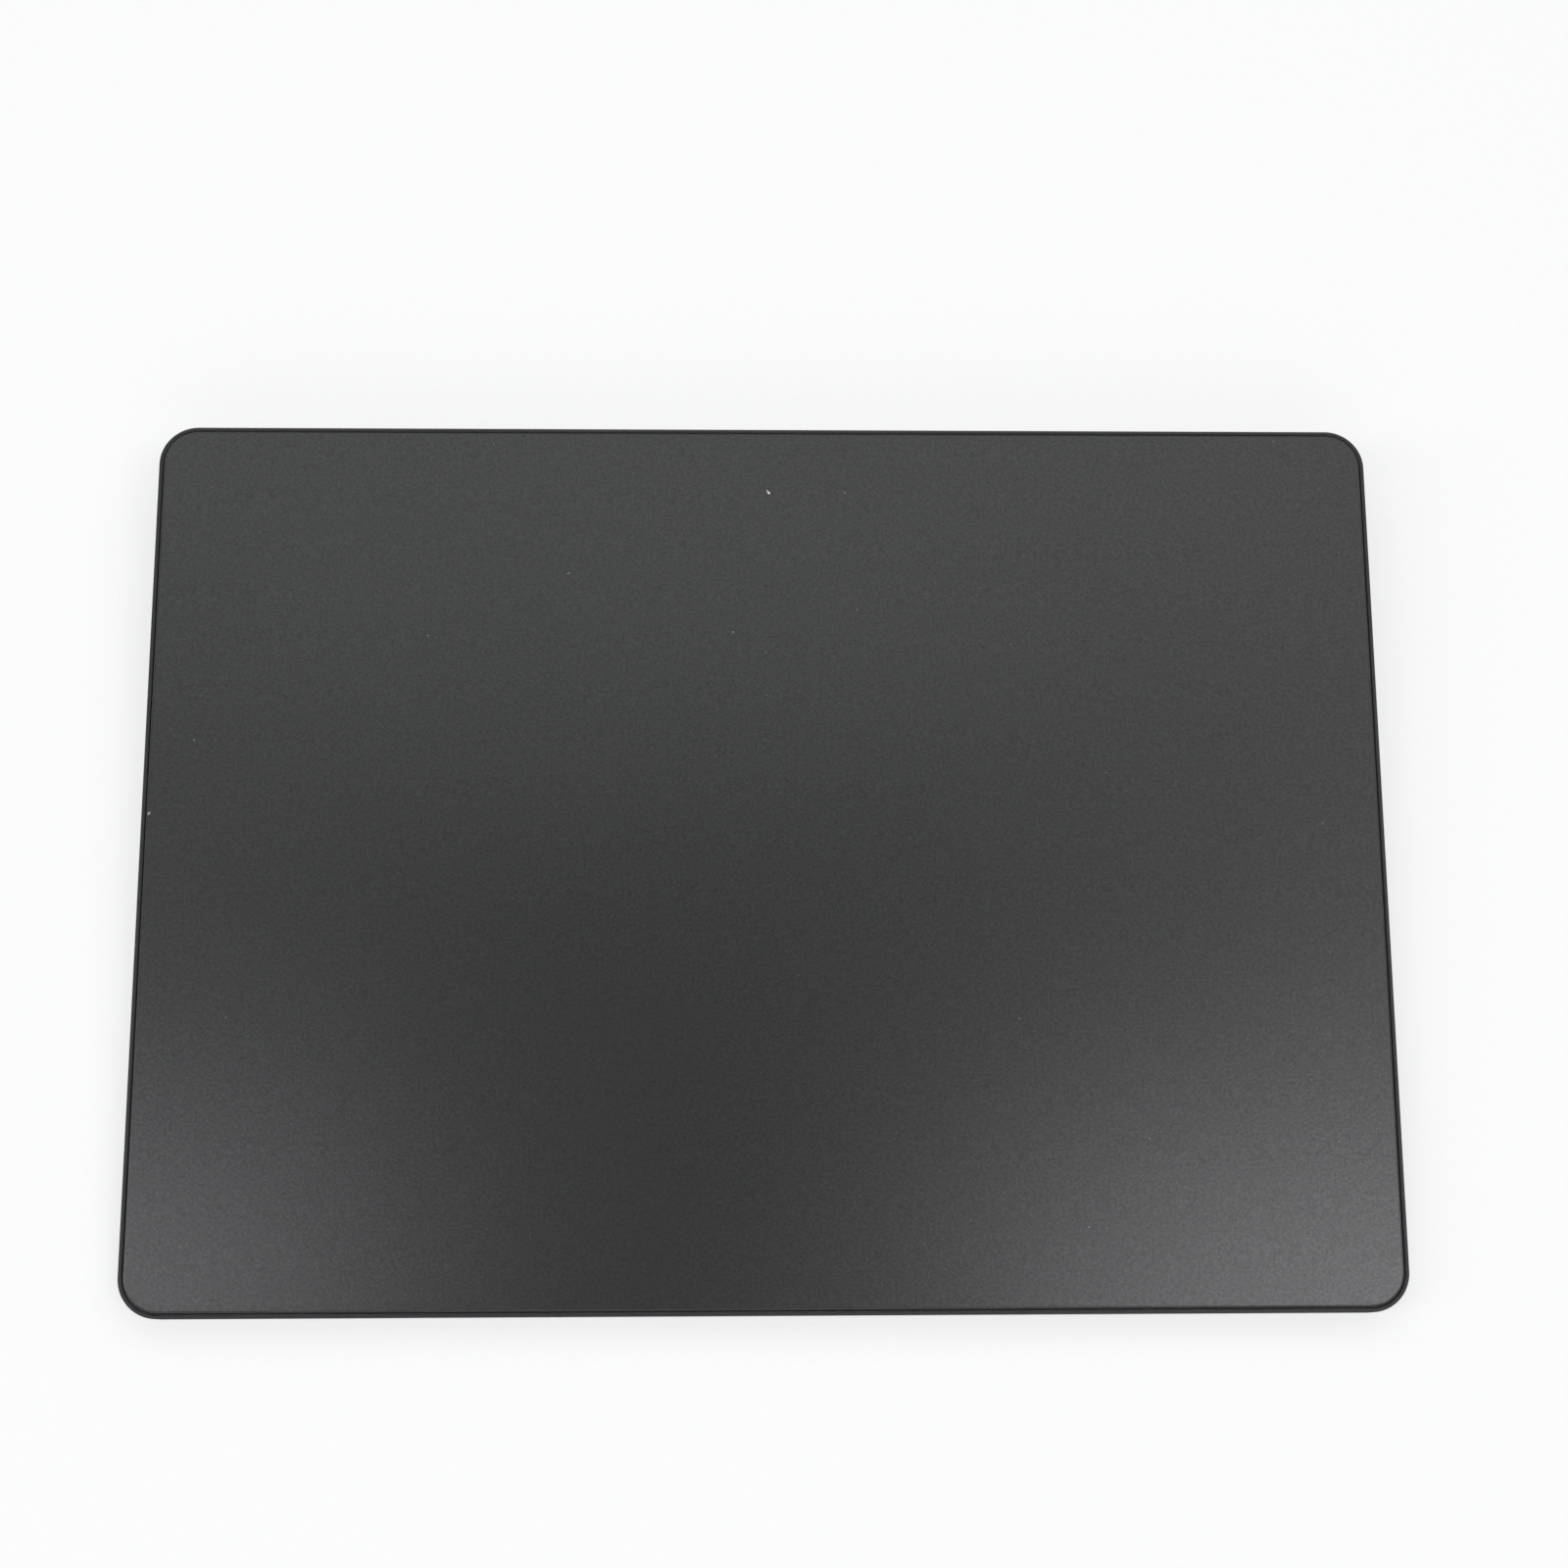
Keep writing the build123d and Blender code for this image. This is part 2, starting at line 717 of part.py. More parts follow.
with BuildPart() as haptic_core:
    with BuildSketch(Plane.XY.offset(bracket_top)):
        with Locations((0, engine_y)):
            Rectangle(spine_width, bracket_length)
    extrude(amount=coil_top - bracket_top)
    with BuildSketch(Plane.XY.offset(arm_bottom)):
        with Locations((0, engine_y)):
            with GridLocations(0, arm_spacing, 1, arm_count):
                Rectangle(2 * arm_reach, arm_width)
    extrude(amount=arm_top - arm_bottom)
    with BuildSketch(Plane.XY.offset(coil_bottom)):
        for side in (-1, 1):
            with Locations((side * (arm_reach - pole_thickness / 2), engine_y)):
                with GridLocations(0, arm_spacing, 1, arm_count):
                    Rectangle(pole_thickness, pole_width)
    extrude(amount=coil_top - coil_bottom)
haptic_core.part.label = "haptic_core"
export_step(haptic_core.part, "parts/haptic_core.step")

with BuildPart() as haptic_coils:
    for side in (-1, 1):
        with BuildSketch(Plane.YZ.offset(side * coil_start)):
            with Locations((engine_y, arm_middle)):
                with GridLocations(arm_spacing, 0, arm_count, 1):
                    Rectangle(arm_width + 2 * coil_side, coil_top - coil_bottom)
                    Rectangle(arm_width, arm_top - arm_bottom, mode=Mode.SUBTRACT)
        extrude(amount=side * coil_length)
haptic_coils.part.label = "haptic_coils"
export_step(haptic_coils.part, "parts/haptic_coils.step")

haptic_screws = hanging_screws(Plane.XY.offset(bracket_top), haptic_screw_places, haptic_screw_length)
haptic_screws.part.label = "haptic_screws"
export_step(haptic_screws.part, "parts/haptic_screws.step")

# Steel bars that hang from the stiffener, one air gap outside the poles
with BuildPart() as attraction_bars:
    with BuildSketch(Plane.XY.offset(bracket_top + bar_lift)):
        for side in (-1, 1):
            with Locations((side * (bar_inner_x + bar_thickness / 2), engine_y)):
                Rectangle(bar_thickness, bracket_length)
    extrude(amount=rear_height)
    split(bisect_by=deck.offset(-stack_drop), keep=Keep.BOTTOM)
    with BuildSketch(deck.offset(-stack_drop)):
        for side in (-1, 1):
            with Locations((side * (bar_inner_x + bar_flange_width / 2), engine_y)):
                Rectangle(bar_flange_width, bracket_length)
    extrude(amount=-bar_flange_thickness)
attraction_bars.part.label = "attraction_bars"
export_step(attraction_bars.part, "parts/attraction_bars.step")

# Flat cable of the haptic engine, along the left corridor to its socket under the logic board
socket_y = board_y + socket_depth_share * board_depth
socket_x = socket_share * board_width

with BuildPart() as haptic_flex:
    with BuildSketch(Plane.XY.offset(floor_top)):
        with BuildLine():
            Polyline(
                (-bracket_width / 2, engine_y),
                (-corridor_x, engine_y),
                (-corridor_x, socket_y),
                (-(socket_x - socket_width / 2), socket_y),
            )
        trace(line_width=haptic_flex_width)
    extrude(amount=flex_thickness)
haptic_flex.part.label = "haptic_flex"
export_step(haptic_flex.part, "parts/haptic_flex.step")

# Battery: pouch cell with a terrace, its tape, protection board, tabs and flat cable
cell_bottom = floor_top + tape_thickness
cell_top = deck_height(battery_front_y, stack_drop) - press_travel - battery_top_gap
cell_right_x = battery_half_width - terrace_gap - terrace_width
cell_length = cell_right_x + battery_half_width
cell_x = (cell_right_x - battery_half_width) / 2
terrace_bottom = (cell_bottom + cell_top) / 2

with BuildPart() as battery_cell:
    with BuildSketch(Plane.XY.offset(cell_bottom)):
        with Locations((cell_x, battery_y)):
            RectangleRounded(cell_length, battery_depth, battery_corner_radius)
    extrude(amount=cell_top - cell_bottom)
    edge_levels = battery_cell.edges().group_by(Axis.Z)
    fillet(edge_levels[0] + edge_levels[-1], battery_edge_round)
    with BuildSketch(Plane.XY.offset(terrace_bottom)):
        with Locations((cell_right_x, battery_y)):
            Rectangle(2 * terrace_width, terrace_length)
    extrude(amount=terrace_thickness)
battery_cell.part.label = "battery_cell"
export_step(battery_cell.part, "parts/battery_cell.step")

tape_x = cell_length / 2 - tape_inset - tape_width / 2

with BuildPart() as battery_tape:
    with BuildSketch(Plane.XY.offset(floor_top)):
        with Locations((cell_x - tape_x, battery_y), (cell_x, battery_y), (cell_x + tape_x, battery_y)):
            Rectangle(tape_width, battery_depth - 2 * tape_inset)
    extrude(amount=tape_thickness)
battery_tape.part.label = "battery_tape"
export_step(battery_tape.part, "parts/battery_tape.step")

battery_board_bottom = floor_top + flex_thickness
battery_board_top = battery_board_bottom + battery_board_thickness

with BuildPart() as battery_flex:
    with BuildSketch(Plane.XY.offset(floor_top)):
        with BuildLine():
            Polyline(
                (corridor_x, battery_y),
                (corridor_x, socket_y),
                (socket_x - socket_width / 2, socket_y),
            )
        trace(line_width=battery_flex_width)
        with Locations((corridor_x, battery_y)):
            Rectangle(battery_board_width, terrace_length)
    extrude(amount=flex_thickness)
battery_flex.part.label = "battery_flex"
export_step(battery_flex.part, "parts/battery_flex.step")

with BuildPart() as battery_board:
    with BuildSketch(Plane.XY.offset(battery_board_bottom)):
        with Locations((corridor_x, battery_y)):
            Rectangle(battery_board_width, terrace_length)
    extrude(amount=battery_board_thickness)
battery_board.part.label = "battery_board"
export_step(battery_board.part, "parts/battery_board.step")

tab_start_x = battery_half_width - terrace_gap - tab_lap
tab_land_x = corridor_x - battery_board_width / 2 + tab_bend
tab_high = terrace_bottom + terrace_thickness + tab_thickness / 2
tab_low = battery_board_top + tab_thickness / 2

with BuildPart() as battery_tabs:
    for side in (-1, 1):
        with BuildSketch(Plane.XZ.offset(tab_width / 2 - battery_y - side * tab_spacing / 2)):
            with BuildLine():
                Polyline(
                    (tab_start_x, tab_high),
                    (battery_half_width - terrace_gap, tab_high),
                    (tab_land_x, tab_low),
                    (tab_land_x + tab_lap, tab_low),
                )
            trace(line_width=tab_thickness)
        extrude(amount=-tab_width)
battery_tabs.part.label = "battery_tabs"
export_step(battery_tabs.part, "parts/battery_tabs.step")

# Logic board on its standoffs, with slots for the legs of the port
port_outer_height = port_opening_height + 2 * port_shell_wall
port_mouth_y = depth / 2 - port_recess
port_back_y = port_mouth_y - port_length
port_leg_x = (port_width - port_shell_wall) / 2
port_leg_places = [
    (side * port_leg_x, port_back_y + port_leg_inset + row * port_leg_spacing)
    for side in (-1, 1)
    for row in (0, 1)
]

with BuildPart() as logic_board:
    with BuildSketch(Plane.XY.offset(board_bottom)):
        with Locations((0, board_y)):
            RectangleRounded(board_width, board_depth, board_corner_radius)
        with Locations(*board_screw_places):
            Circle(screw_shank_radius, mode=Mode.SUBTRACT)
        with Locations(*port_leg_places):
            Rectangle(
                port_shell_wall + 2 * port_leg_gap,
                port_leg_length + 2 * port_leg_gap,
                mode=Mode.SUBTRACT,
            )
    extrude(amount=board_thickness)
logic_board.part.label = "logic_board"
export_step(logic_board.part, "parts/logic_board.step")

board_screws = hanging_screws(Plane.XY.offset(board_top), board_screw_places, board_screw_length)
board_screws.part.label = "board_screws"
export_step(board_screws.part, "parts/board_screws.step")

# Sockets under the board reach down onto the ends of the flat cables on the floor
with BuildPart() as board_sockets:
    with BuildSketch(Plane.XY.offset(board_bottom)):
        with Locations((-socket_x, socket_y), (socket_x, socket_y)):
            Rectangle(socket_width, socket_length)
    extrude(amount=flex_thickness - board_lift)
board_sockets.part.label = "board_sockets"
export_step(board_sockets.part, "parts/board_sockets.step")

with BuildPart() as touch_socket:
    with BuildSketch(Plane.XY.offset(board_top)):
        with Locations((touch_flex_x, touch_flex_y)):
            Rectangle(touch_flex_width, touch_socket_length)
    extrude(amount=touch_socket_height)
touch_socket.part.label = "touch_socket"
export_step(touch_socket.part, "parts/touch_socket.step")

# Ribbon that bends from the board up to the sensor board and gives with the stroke
ribbon_high = touch_flex_top - flex_thickness / 2
ribbon_low = board_top + touch_socket_height + flex_thickness / 2
ribbon_bend_y = touch_flex_y + touch_socket_length / 2 + touch_flex_lead
ribbon_bend_radius = (ribbon_high - ribbon_low) / 2

with BuildPart() as touch_flex:
    with BuildSketch(Plane.YZ.offset(touch_flex_x - touch_flex_width / 2)):
        with BuildLine():
            Line((touch_flex_front_y, ribbon_high), (ribbon_bend_y, ribbon_high))
            CenterArc((ribbon_bend_y, ribbon_low + ribbon_bend_radius), ribbon_bend_radius, 90, -180)
            Line((ribbon_bend_y, ribbon_low), (touch_flex_front_y, ribbon_low))
        trace(line_width=flex_thickness)
    extrude(amount=touch_flex_width)
touch_flex.part.label = "touch_flex"
export_step(touch_flex.part, "parts/touch_flex.step")

# Packages on the logic board
main_processor = board_chips(
    [board_place(processor_shares)], processor_size, processor_size, processor_height
)
main_processor.part.label = "main_processor"
export_step(main_processor.part, "parts/main_processor.step")

memory_chip = board_chips([board_place(memory_shares)], memory_width, memory_length, memory_height)
memory_chip.part.label = "memory_chip"
export_step(memory_chip.part, "parts/memory_chip.step")

radio_chip = board_chips([board_place(shield_shares)], radio_size, radio_size, radio_height)
radio_chip.part.label = "radio_chip"
export_step(radio_chip.part, "parts/radio_chip.step")

charger_chip = board_chips([board_place(charger_shares)], charger_size, charger_size, charger_height)
charger_chip.part.label = "charger_chip"
export_step(charger_chip.part, "parts/charger_chip.step")

charger_x, charger_y = board_place(charger_shares)
inductor_x = charger_x + charger_size / 2 + inductor_gap + inductor_size / 2
power_inductor = board_chips([(inductor_x, charger_y)], inductor_size, inductor_size, inductor_height)
power_inductor.part.label = "power_inductor"
export_step(power_inductor.part, "parts/power_inductor.step")

processor_x, processor_y = board_place(processor_shares)
crystal_x = processor_x + processor_size / 2 + crystal_gap + crystal_width / 2
clock_crystal = board_chips([(crystal_x, processor_y)], crystal_width, crystal_length, crystal_height)
clock_crystal.part.label = "clock_crystal"
export_step(clock_crystal.part, "parts/clock_crystal.step")

# Capacitors in columns: beside the processor, the crystal, the charger and the ribbon's socket
capacitor_reach = capacitor_gap + capacitor_width / 2
capacitor_columns = [
    (processor_x - processor_size / 2 - capacitor_reach, processor_y),
    (crystal_x + crystal_width / 2 + capacitor_reach, processor_y),
    (charger_x - charger_size / 2 - capacitor_reach, charger_y),
    (touch_flex_x + touch_flex_width / 2 + capacitor_reach, touch_flex_y),
]
capacitor_places = [
    (x, y + (row - (capacitor_rows - 1) / 2) * capacitor_spacing)
    for x, y in capacitor_columns
    for row in range(capacitor_rows)
]
board_capacitors = board_chips(capacitor_places, capacitor_width, capacitor_length, capacitor_height)
board_capacitors.part.label = "board_capacitors"
export_step(board_capacitors.part, "parts/board_capacitors.step")

with BuildPart() as shield_can:
    with BuildSketch(Plane.XY.offset(board_top)):
        with Locations(board_place(shield_shares)):
            Rectangle(shield_width, shield_length)
    extrude(amount=shield_height)
    with BuildSketch(Plane.XY.offset(board_top)):
        with Locations(board_place(shield_shares)):
            Rectangle(shield_width - 2 * shield_wall, shield_length - 2 * shield_wall)
    extrude(amount=shield_height - shield_wall, mode=Mode.SUBTRACT)
shield_can.part.label = "shield_can"
export_step(shield_can.part, "parts/shield_can.step")

# Charging port: drawn metal shell with four legs, insulator with its tongue, and contacts
port_back = Plane.XZ.offset(-port_back_y)
port_inner_width = port_width - 2 * port_shell_wall

with BuildPart() as port_shell:
    with BuildSketch(port_back):
        with Locations((0, port_height)):
            SlotOverall(port_width, port_outer_height)
            SlotOverall(port_inner_width, port_opening_height, mode=Mode.SUBTRACT)
    extrude(amount=-port_length)
    with BuildSketch(Plane.XY.offset(board_bottom)):
        with Locations(*port_leg_places):
            Rectangle(port_shell_wall, port_leg_length)
    extrude(amount=port_height - board_bottom)
port_shell.part.label = "port_shell"
export_step(port_shell.part, "parts/port_shell.step")

with BuildPart() as port_tongue:
    with BuildSketch(port_back):
        with Locations((0, port_height)):
            SlotOverall(port_inner_width, port_opening_height)
    extrude(amount=-port_base_length)
    with BuildSketch(port_back):
        with Locations((0, port_height)):
            Rectangle(tongue_width, tongue_thickness)
    extrude(amount=-(port_base_length + tongue_length))
port_tongue.part.label = "port_tongue"
export_step(port_tongue.part, "parts/port_tongue.step")

contact_y = port_back_y + port_base_length + tongue_length - contact_inset - contact_length / 2

with BuildPart() as port_contacts:
    for side in (-1, 1):
        with BuildSketch(Plane.XY.offset(port_height + side * tongue_thickness / 2)):
            with Locations((0, contact_y)):
                with GridLocations(contact_spacing, 0, contact_count, 1):
                    Rectangle(contact_width, contact_length)
        extrude(amount=side * contact_thickness)
port_contacts.part.label = "port_contacts"
export_step(port_contacts.part, "parts/port_contacts.step")

with BuildPart() as port_gasket:
    with BuildSketch(Plane.XZ.offset(-inner_half_depth)):
        with Locations((0, port_height)):
            SlotOverall(port_width + 2 * port_gasket_width, port_outer_height + 2 * port_gasket_width)
            SlotOverall(port_width, port_outer_height, mode=Mode.SUBTRACT)
    extrude(amount=port_gasket_thickness)
port_gasket.part.label = "port_gasket"
export_step(port_gasket.part, "parts/port_gasket.step")

# Antenna on a hollow carrier in the rear left corner, and its feed strip to the board
carrier_x = carrier_side_gap + carrier_width / 2 - inner_half_width
carrier_y = inner_half_depth - carrier_rear_gap - carrier_length / 2
carrier_top = floor_top + carrier_height
carrier_right_x = carrier_x + carrier_width / 2

with BuildPart() as antenna_carrier:
    with BuildSketch(Plane.XY.offset(floor_top)):
        with Locations((carrier_x, carrier_y)):
            Rectangle(carrier_width, carrier_length)
    extrude(amount=carrier_height)
    with BuildSketch(Plane.XY.offset(floor_top)):
        with Locations((carrier_x, carrier_y)):
            Rectangle(carrier_width - 2 * carrier_wall, carrier_length - 2 * carrier_wall)
    extrude(amount=carrier_height - carrier_wall, mode=Mode.SUBTRACT)
antenna_carrier.part.label = "antenna_carrier"
export_step(antenna_carrier.part, "parts/antenna_carrier.step")

track_width = carrier_width - 2 * antenna_inset
track_length = carrier_length - 2 * antenna_inset
track_rear_y = carrier_y + (track_length - antenna_track) / 2

with BuildPart() as antenna:
    with BuildSketch(Plane.XY.offset(carrier_top)):
        with BuildLine():
            Polyline(
                (carrier_x + track_width / 2 - antenna_track, carrier_y - track_length / 2),
                (carrier_x + track_width / 2 - antenna_track, track_rear_y),
                (carrier_x - track_width / 2, track_rear_y),
                (carrier_x - track_width / 2, carrier_y - track_length / 2),
            )
        trace(line_width=antenna_track)
    extrude(amount=antenna_thickness)
antenna.part.label = "antenna"
export_step(antenna.part, "parts/antenna.step")

feed_high = carrier_top + antenna_thickness + feed_thickness / 2
feed_low = board_top + feed_thickness / 2
feed_start_x = carrier_right_x - antenna_inset - antenna_track

with BuildPart() as antenna_feed:
    with BuildSketch(Plane.XZ.offset(-carrier_y - feed_width / 2)):
        with BuildLine():
            Polyline(
                (feed_start_x, feed_high),
                (carrier_right_x, feed_high),
                (feed_bend - board_width / 2, feed_low),
                (feed_bend + feed_lap - board_width / 2, feed_low),
            )
        trace(line_width=feed_thickness)
    extrude(amount=feed_width)
antenna_feed.part.label = "antenna_feed"
export_step(antenna_feed.part, "parts/antenna_feed.step")

# Power switch: electrical body on the board, plunger, cap in the rear slot, mark and guide
flange_width = knob_width + 2 * flange_side
flange_height = knob_height + 2 * flange_rise
flange_y = inner_half_depth - flange_gap
flange_back_y = flange_y - flange_thickness
switch_body_y = inner_half_depth - flange_gap - flange_thickness - switch_body_gap
knob_length = depth / 2 - knob_recess - flange_y
plunger_slot_depth = plunger_depth + plunger_gap

with BuildPart() as switch_body:
    with BuildSketch(Plane.XY.offset(board_top)):
        with Locations((switch_x, switch_body_y - switch_body_length / 2)):
            Rectangle(switch_body_width, switch_body_length)
    extrude(amount=switch_body_height)
    with BuildSketch(Plane.XZ.offset(-switch_body_y)):
        with Locations((switch_x, port_height)):
            Rectangle(
                plunger_width + switch_travel + 2 * plunger_gap,
                plunger_height + 2 * plunger_gap,
            )
    extrude(amount=plunger_slot_depth, mode=Mode.SUBTRACT)
switch_body.part.label = "switch_body"
export_step(switch_body.part, "parts/switch_body.step")

with BuildPart() as switch_plunger:
    with BuildSketch(Plane.XZ.offset(-(switch_body_y - plunger_depth))):
        with Locations((knob_x, port_height)):
            Rectangle(plunger_width, plunger_height)
    extrude(amount=-(plunger_depth + switch_body_gap - prong_gap))
switch_plunger.part.label = "switch_plunger"
export_step(switch_plunger.part, "parts/switch_plunger.step")

with BuildPart() as switch_cap:
    with BuildSketch(Plane.XZ.offset(-flange_back_y)):
        with Locations((knob_x, port_height)):
            RectangleRounded(flange_width, flange_height, flange_rise)
    extrude(amount=-flange_thickness)
    with BuildSketch(Plane.XZ.offset(-flange_y)):
        with Locations((knob_x, port_height)):
            SlotOverall(knob_width, knob_height)
    extrude(amount=-knob_length)
    with BuildSketch(Plane.XZ.offset(knob_recess - depth / 2)):
        with Locations((knob_x, port_height)):
            with GridLocations(knob_groove_spacing, 0, knob_groove_count, 1):
                Rectangle(knob_groove_width, knob_height)
    extrude(amount=knob_groove_depth, mode=Mode.SUBTRACT)
    with BuildSketch(Plane.XZ.offset(-flange_back_y)):
        for side in (-1, 1):
            prong_x = knob_x + side * (plunger_width + prong_width + 2 * prong_gap) / 2
            with Locations((prong_x, port_height)):
                Rectangle(prong_width, plunger_height)
    extrude(amount=switch_body_gap - plunger_gap)
switch_cap.part.label = "switch_cap"
export_step(switch_cap.part, "parts/switch_cap.step")

with BuildPart() as switch_mark:
    with BuildSketch(Plane.XZ.offset(-flange_y)):
        with Locations((knob_x - (knob_width + switch_travel) / 2 - mark_inset, port_height)):
            Rectangle(switch_travel, knob_height)
    extrude(amount=-mark_thickness)
switch_mark.part.label = "switch_mark"
export_step(switch_mark.part, "parts/switch_mark.step")

guide_inner_width = flange_width + switch_travel + 2 * guide_gap
guide_inner_height = flange_height + 2 * guide_gap

with BuildPart() as switch_guide:
    with BuildSketch(Plane.XZ.offset(-inner_half_depth)):
        with Locations((switch_x, port_height)):
            Rectangle(guide_inner_width + 2 * guide_frame, guide_inner_height + 2 * guide_frame)
            Rectangle(guide_inner_width, guide_inner_height, mode=Mode.SUBTRACT)
    extrude(amount=guide_thickness)
switch_guide.part.label = "switch_guide"
export_step(switch_guide.part, "parts/switch_guide.step")
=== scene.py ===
import json
import math

import bmesh
import bpy
from mathutils import Euler, Matrix, Vector


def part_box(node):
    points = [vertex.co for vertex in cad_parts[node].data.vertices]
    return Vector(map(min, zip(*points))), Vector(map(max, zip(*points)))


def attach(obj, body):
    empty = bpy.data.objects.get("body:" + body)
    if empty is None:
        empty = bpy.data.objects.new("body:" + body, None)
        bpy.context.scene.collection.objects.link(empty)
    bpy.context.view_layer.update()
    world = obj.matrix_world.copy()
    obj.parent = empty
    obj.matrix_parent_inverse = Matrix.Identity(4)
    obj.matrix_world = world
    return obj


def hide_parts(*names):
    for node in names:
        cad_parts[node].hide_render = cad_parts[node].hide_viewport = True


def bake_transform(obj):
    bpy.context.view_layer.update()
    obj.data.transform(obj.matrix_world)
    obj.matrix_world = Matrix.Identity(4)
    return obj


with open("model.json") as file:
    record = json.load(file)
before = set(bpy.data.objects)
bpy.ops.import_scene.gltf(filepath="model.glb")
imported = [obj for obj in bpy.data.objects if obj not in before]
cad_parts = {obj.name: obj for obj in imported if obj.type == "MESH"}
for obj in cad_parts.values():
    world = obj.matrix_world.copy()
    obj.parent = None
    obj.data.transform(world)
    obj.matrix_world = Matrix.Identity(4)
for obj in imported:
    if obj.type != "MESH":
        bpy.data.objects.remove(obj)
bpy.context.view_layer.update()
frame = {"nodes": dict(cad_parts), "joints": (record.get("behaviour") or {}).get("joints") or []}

bl_info = {
    "name": "Desktop Trackpad Finishes",
    "version": (1, 0, 0),
    "blender": (4, 5, 0),
    "location": "3D View > Sidebar > Trackpad",
    "description": "Finishes a frosted desktop trackpad and its inner parts, and sets its stage",
    "category": "Object",
}

SHADER_TREE = "ShaderNodeTree"
GEOMETRY_TREE = "GeometryNodeTree"
VALUE_SOCKETS = {float: "NodeSocketFloat", int: "NodeSocketInt", tuple: "NodeSocketVector"}
GEOMETRY = "NodeSocketGeometry"
MATERIAL = "NodeSocketMaterial"


def display(red, green, blue):
    """Linear colour from display values out of 255."""
    shares = [level / 255 for level in (red, green, blue)]
    return (*[s / 12.92 if s <= 0.04045 else ((s + 0.055) / 1.055) ** 2.4 for s in shares], 1.0)


def shaded(colour, factor):
    """The colour made lighter or darker by a factor."""
    return (*[min(1.0, channel * factor) for channel in colour[:3]], 1.0)


def colour_property(name, description, default):
    """One colour that a user may change."""
    return bpy.props.FloatVectorProperty(
        name=name, description=description, subtype="COLOR", size=4, min=0, max=1, default=default
    )


def number_property(name, description, default, **settings):
    """One number that a user may change."""
    return bpy.props.FloatProperty(
        name=name, description=description, min=0, default=default, **settings
    )


def length_property(name, description, default):
    """One length in metres that a user may change."""
    return number_property(name, description, default, unit="LENGTH", precision=6)


class TrackpadColours(bpy.types.PropertyGroup):
    """Colours of the trackpad's finishes"""

    glass: colour_property("Glass", "Dark ink behind the frosted touch glass", display(40, 40, 40))
    metal: colour_property("Metal", "Anodised case round the glass", display(54, 54, 55))
    cover: colour_property("Base Cover", "Blasted plate under the case", display(56, 56, 58))
    inside: colour_property("Machined Inside", "Bare inner walls of the case", display(128, 128, 129))
    rubber: colour_property("Rubber", "Feet, stops and port gasket", display(34, 34, 35))
    board: colour_property("Board", "Solder mask of the boards", display(24, 40, 34))
    film: colour_property("Film", "Flat cables and antenna feed", display(168, 96, 34))
    copper: colour_property("Copper", "Coil wire", display(190, 104, 62))
    plastic: colour_property("Plastic", "Switch cap", display(66, 66, 68))
    mark: colour_property("On Mark", "Strip that shows when the switch is on", display(66, 190, 88))
    dust: colour_property("Dust", "Settled specks", display(196, 196, 192))


class TrackpadSizes(bpy.types.PropertyGroup):
    """Sizes of the trackpad's fine detail"""

    glass_grain: length_property("Glass Grain", "Size of the etched grain", 0.00034)
    metal_grain: length_property("Metal Grain", "Size of the blasted grain", 0.00016)
    wire: length_property("Wire", "Diameter of the coil wire", 0.00022)
    flange: length_property("Coil Flange", "Thickness of the rims that hold a coil", 0.0003)
    coil_corner: length_property("Coil Corner", "Radius at the corners of a turn", 0.0004)
    cap_end: length_property("Capacitor End", "Length of a capacitor's metal end", 0.00022)
    cap_step: length_property("Capacitor Step", "How far the ends stand out round the body", 0.000015)
    pad_spacing: length_property("Pad Spacing", "Distance between solder pads", 0.0005)
    pad_width: length_property("Pad Width", "Width of a solder pad", 0.00028)
    pad_reach: length_property("Pad Reach", "Length of a solder pad outside its package", 0.00035)
    pad_height: length_property("Pad Height", "Height of a solder pad", 0.00004)
    ease: length_property("Ease", "Rounding of a capacitor's metal ends", 0.00003)
    flexure_foot: length_property("Flexure Foot", "Length of a flexure's screwed foot", 0.007)


class TrackpadStage(bpy.types.PropertyGroup):
    """Floor, lamps and sky"""

    floor_reach: length_property("Floor Reach", "Half the width of the floor", 1.6)
    shadow_reach: length_property("Shadow Reach", "Radius inside which the floor takes a shadow", 0.30)
    paper_white: number_property(
        "Paper White", "Share of plain white in the floor near the trackpad", 0.6,
        subtype="FACTOR", max=1,
    )
    lamp_distance: length_property("Lamp Distance", "From the trackpad to each lamp", 0.9)
    lamp_strength: number_property("Lamp Strength", "Factor on every lamp", 1.0)
    sky_fill: number_property("Fill", "Even light from all round", 0.18)
    sky_top: number_property("Ceiling", "Brightness of the ceiling in reflections", 0.03)


# Shader and geometry trees

LEVEL_ENOUGH = 0.7  # least upward or downward part of a face's normal where dust lies
FLECK_CORE = 0.1  # squared distance from a fleck's middle, as a share, where it begins to fade
FLECK_RIM = 0.3  # and where it has faded


def add(tree, kind, sockets=None, **settings):
    """The outputs of a new node with its settings, and a value or a link for each socket named."""
    made = tree.nodes.new(kind)
    for key, value in settings.items():
        setattr(made, key, value)
    for key, value in (sockets or {}).items():
        if isinstance(value, bpy.types.NodeSocket):
            tree.links.new(value, made.inputs[key])
        else:
            made.inputs[key].default_value = value
    return made.outputs


def maths(tree, operation, *values, clamp=False):
    """One sum on numbers."""
    return add(tree, "ShaderNodeMath", dict(enumerate(values)), operation=operation, use_clamp=clamp)[0]


def squares(tree, *values):
    """The sum of the squares of two numbers."""
    return maths(tree, "ADD", *[maths(tree, "MULTIPLY", value, value) for value in values])


def vector_maths(tree, operation, *values):
    """One sum on vectors."""
    return add(tree, "ShaderNodeVectorMath", dict(enumerate(values)), operation=operation)[0]


def scaled(tree, vector, factor):
    """A vector made longer or shorter."""
    return add(tree, "ShaderNodeVectorMath", {0: vector, "Scale": factor}, operation="SCALE")[0]


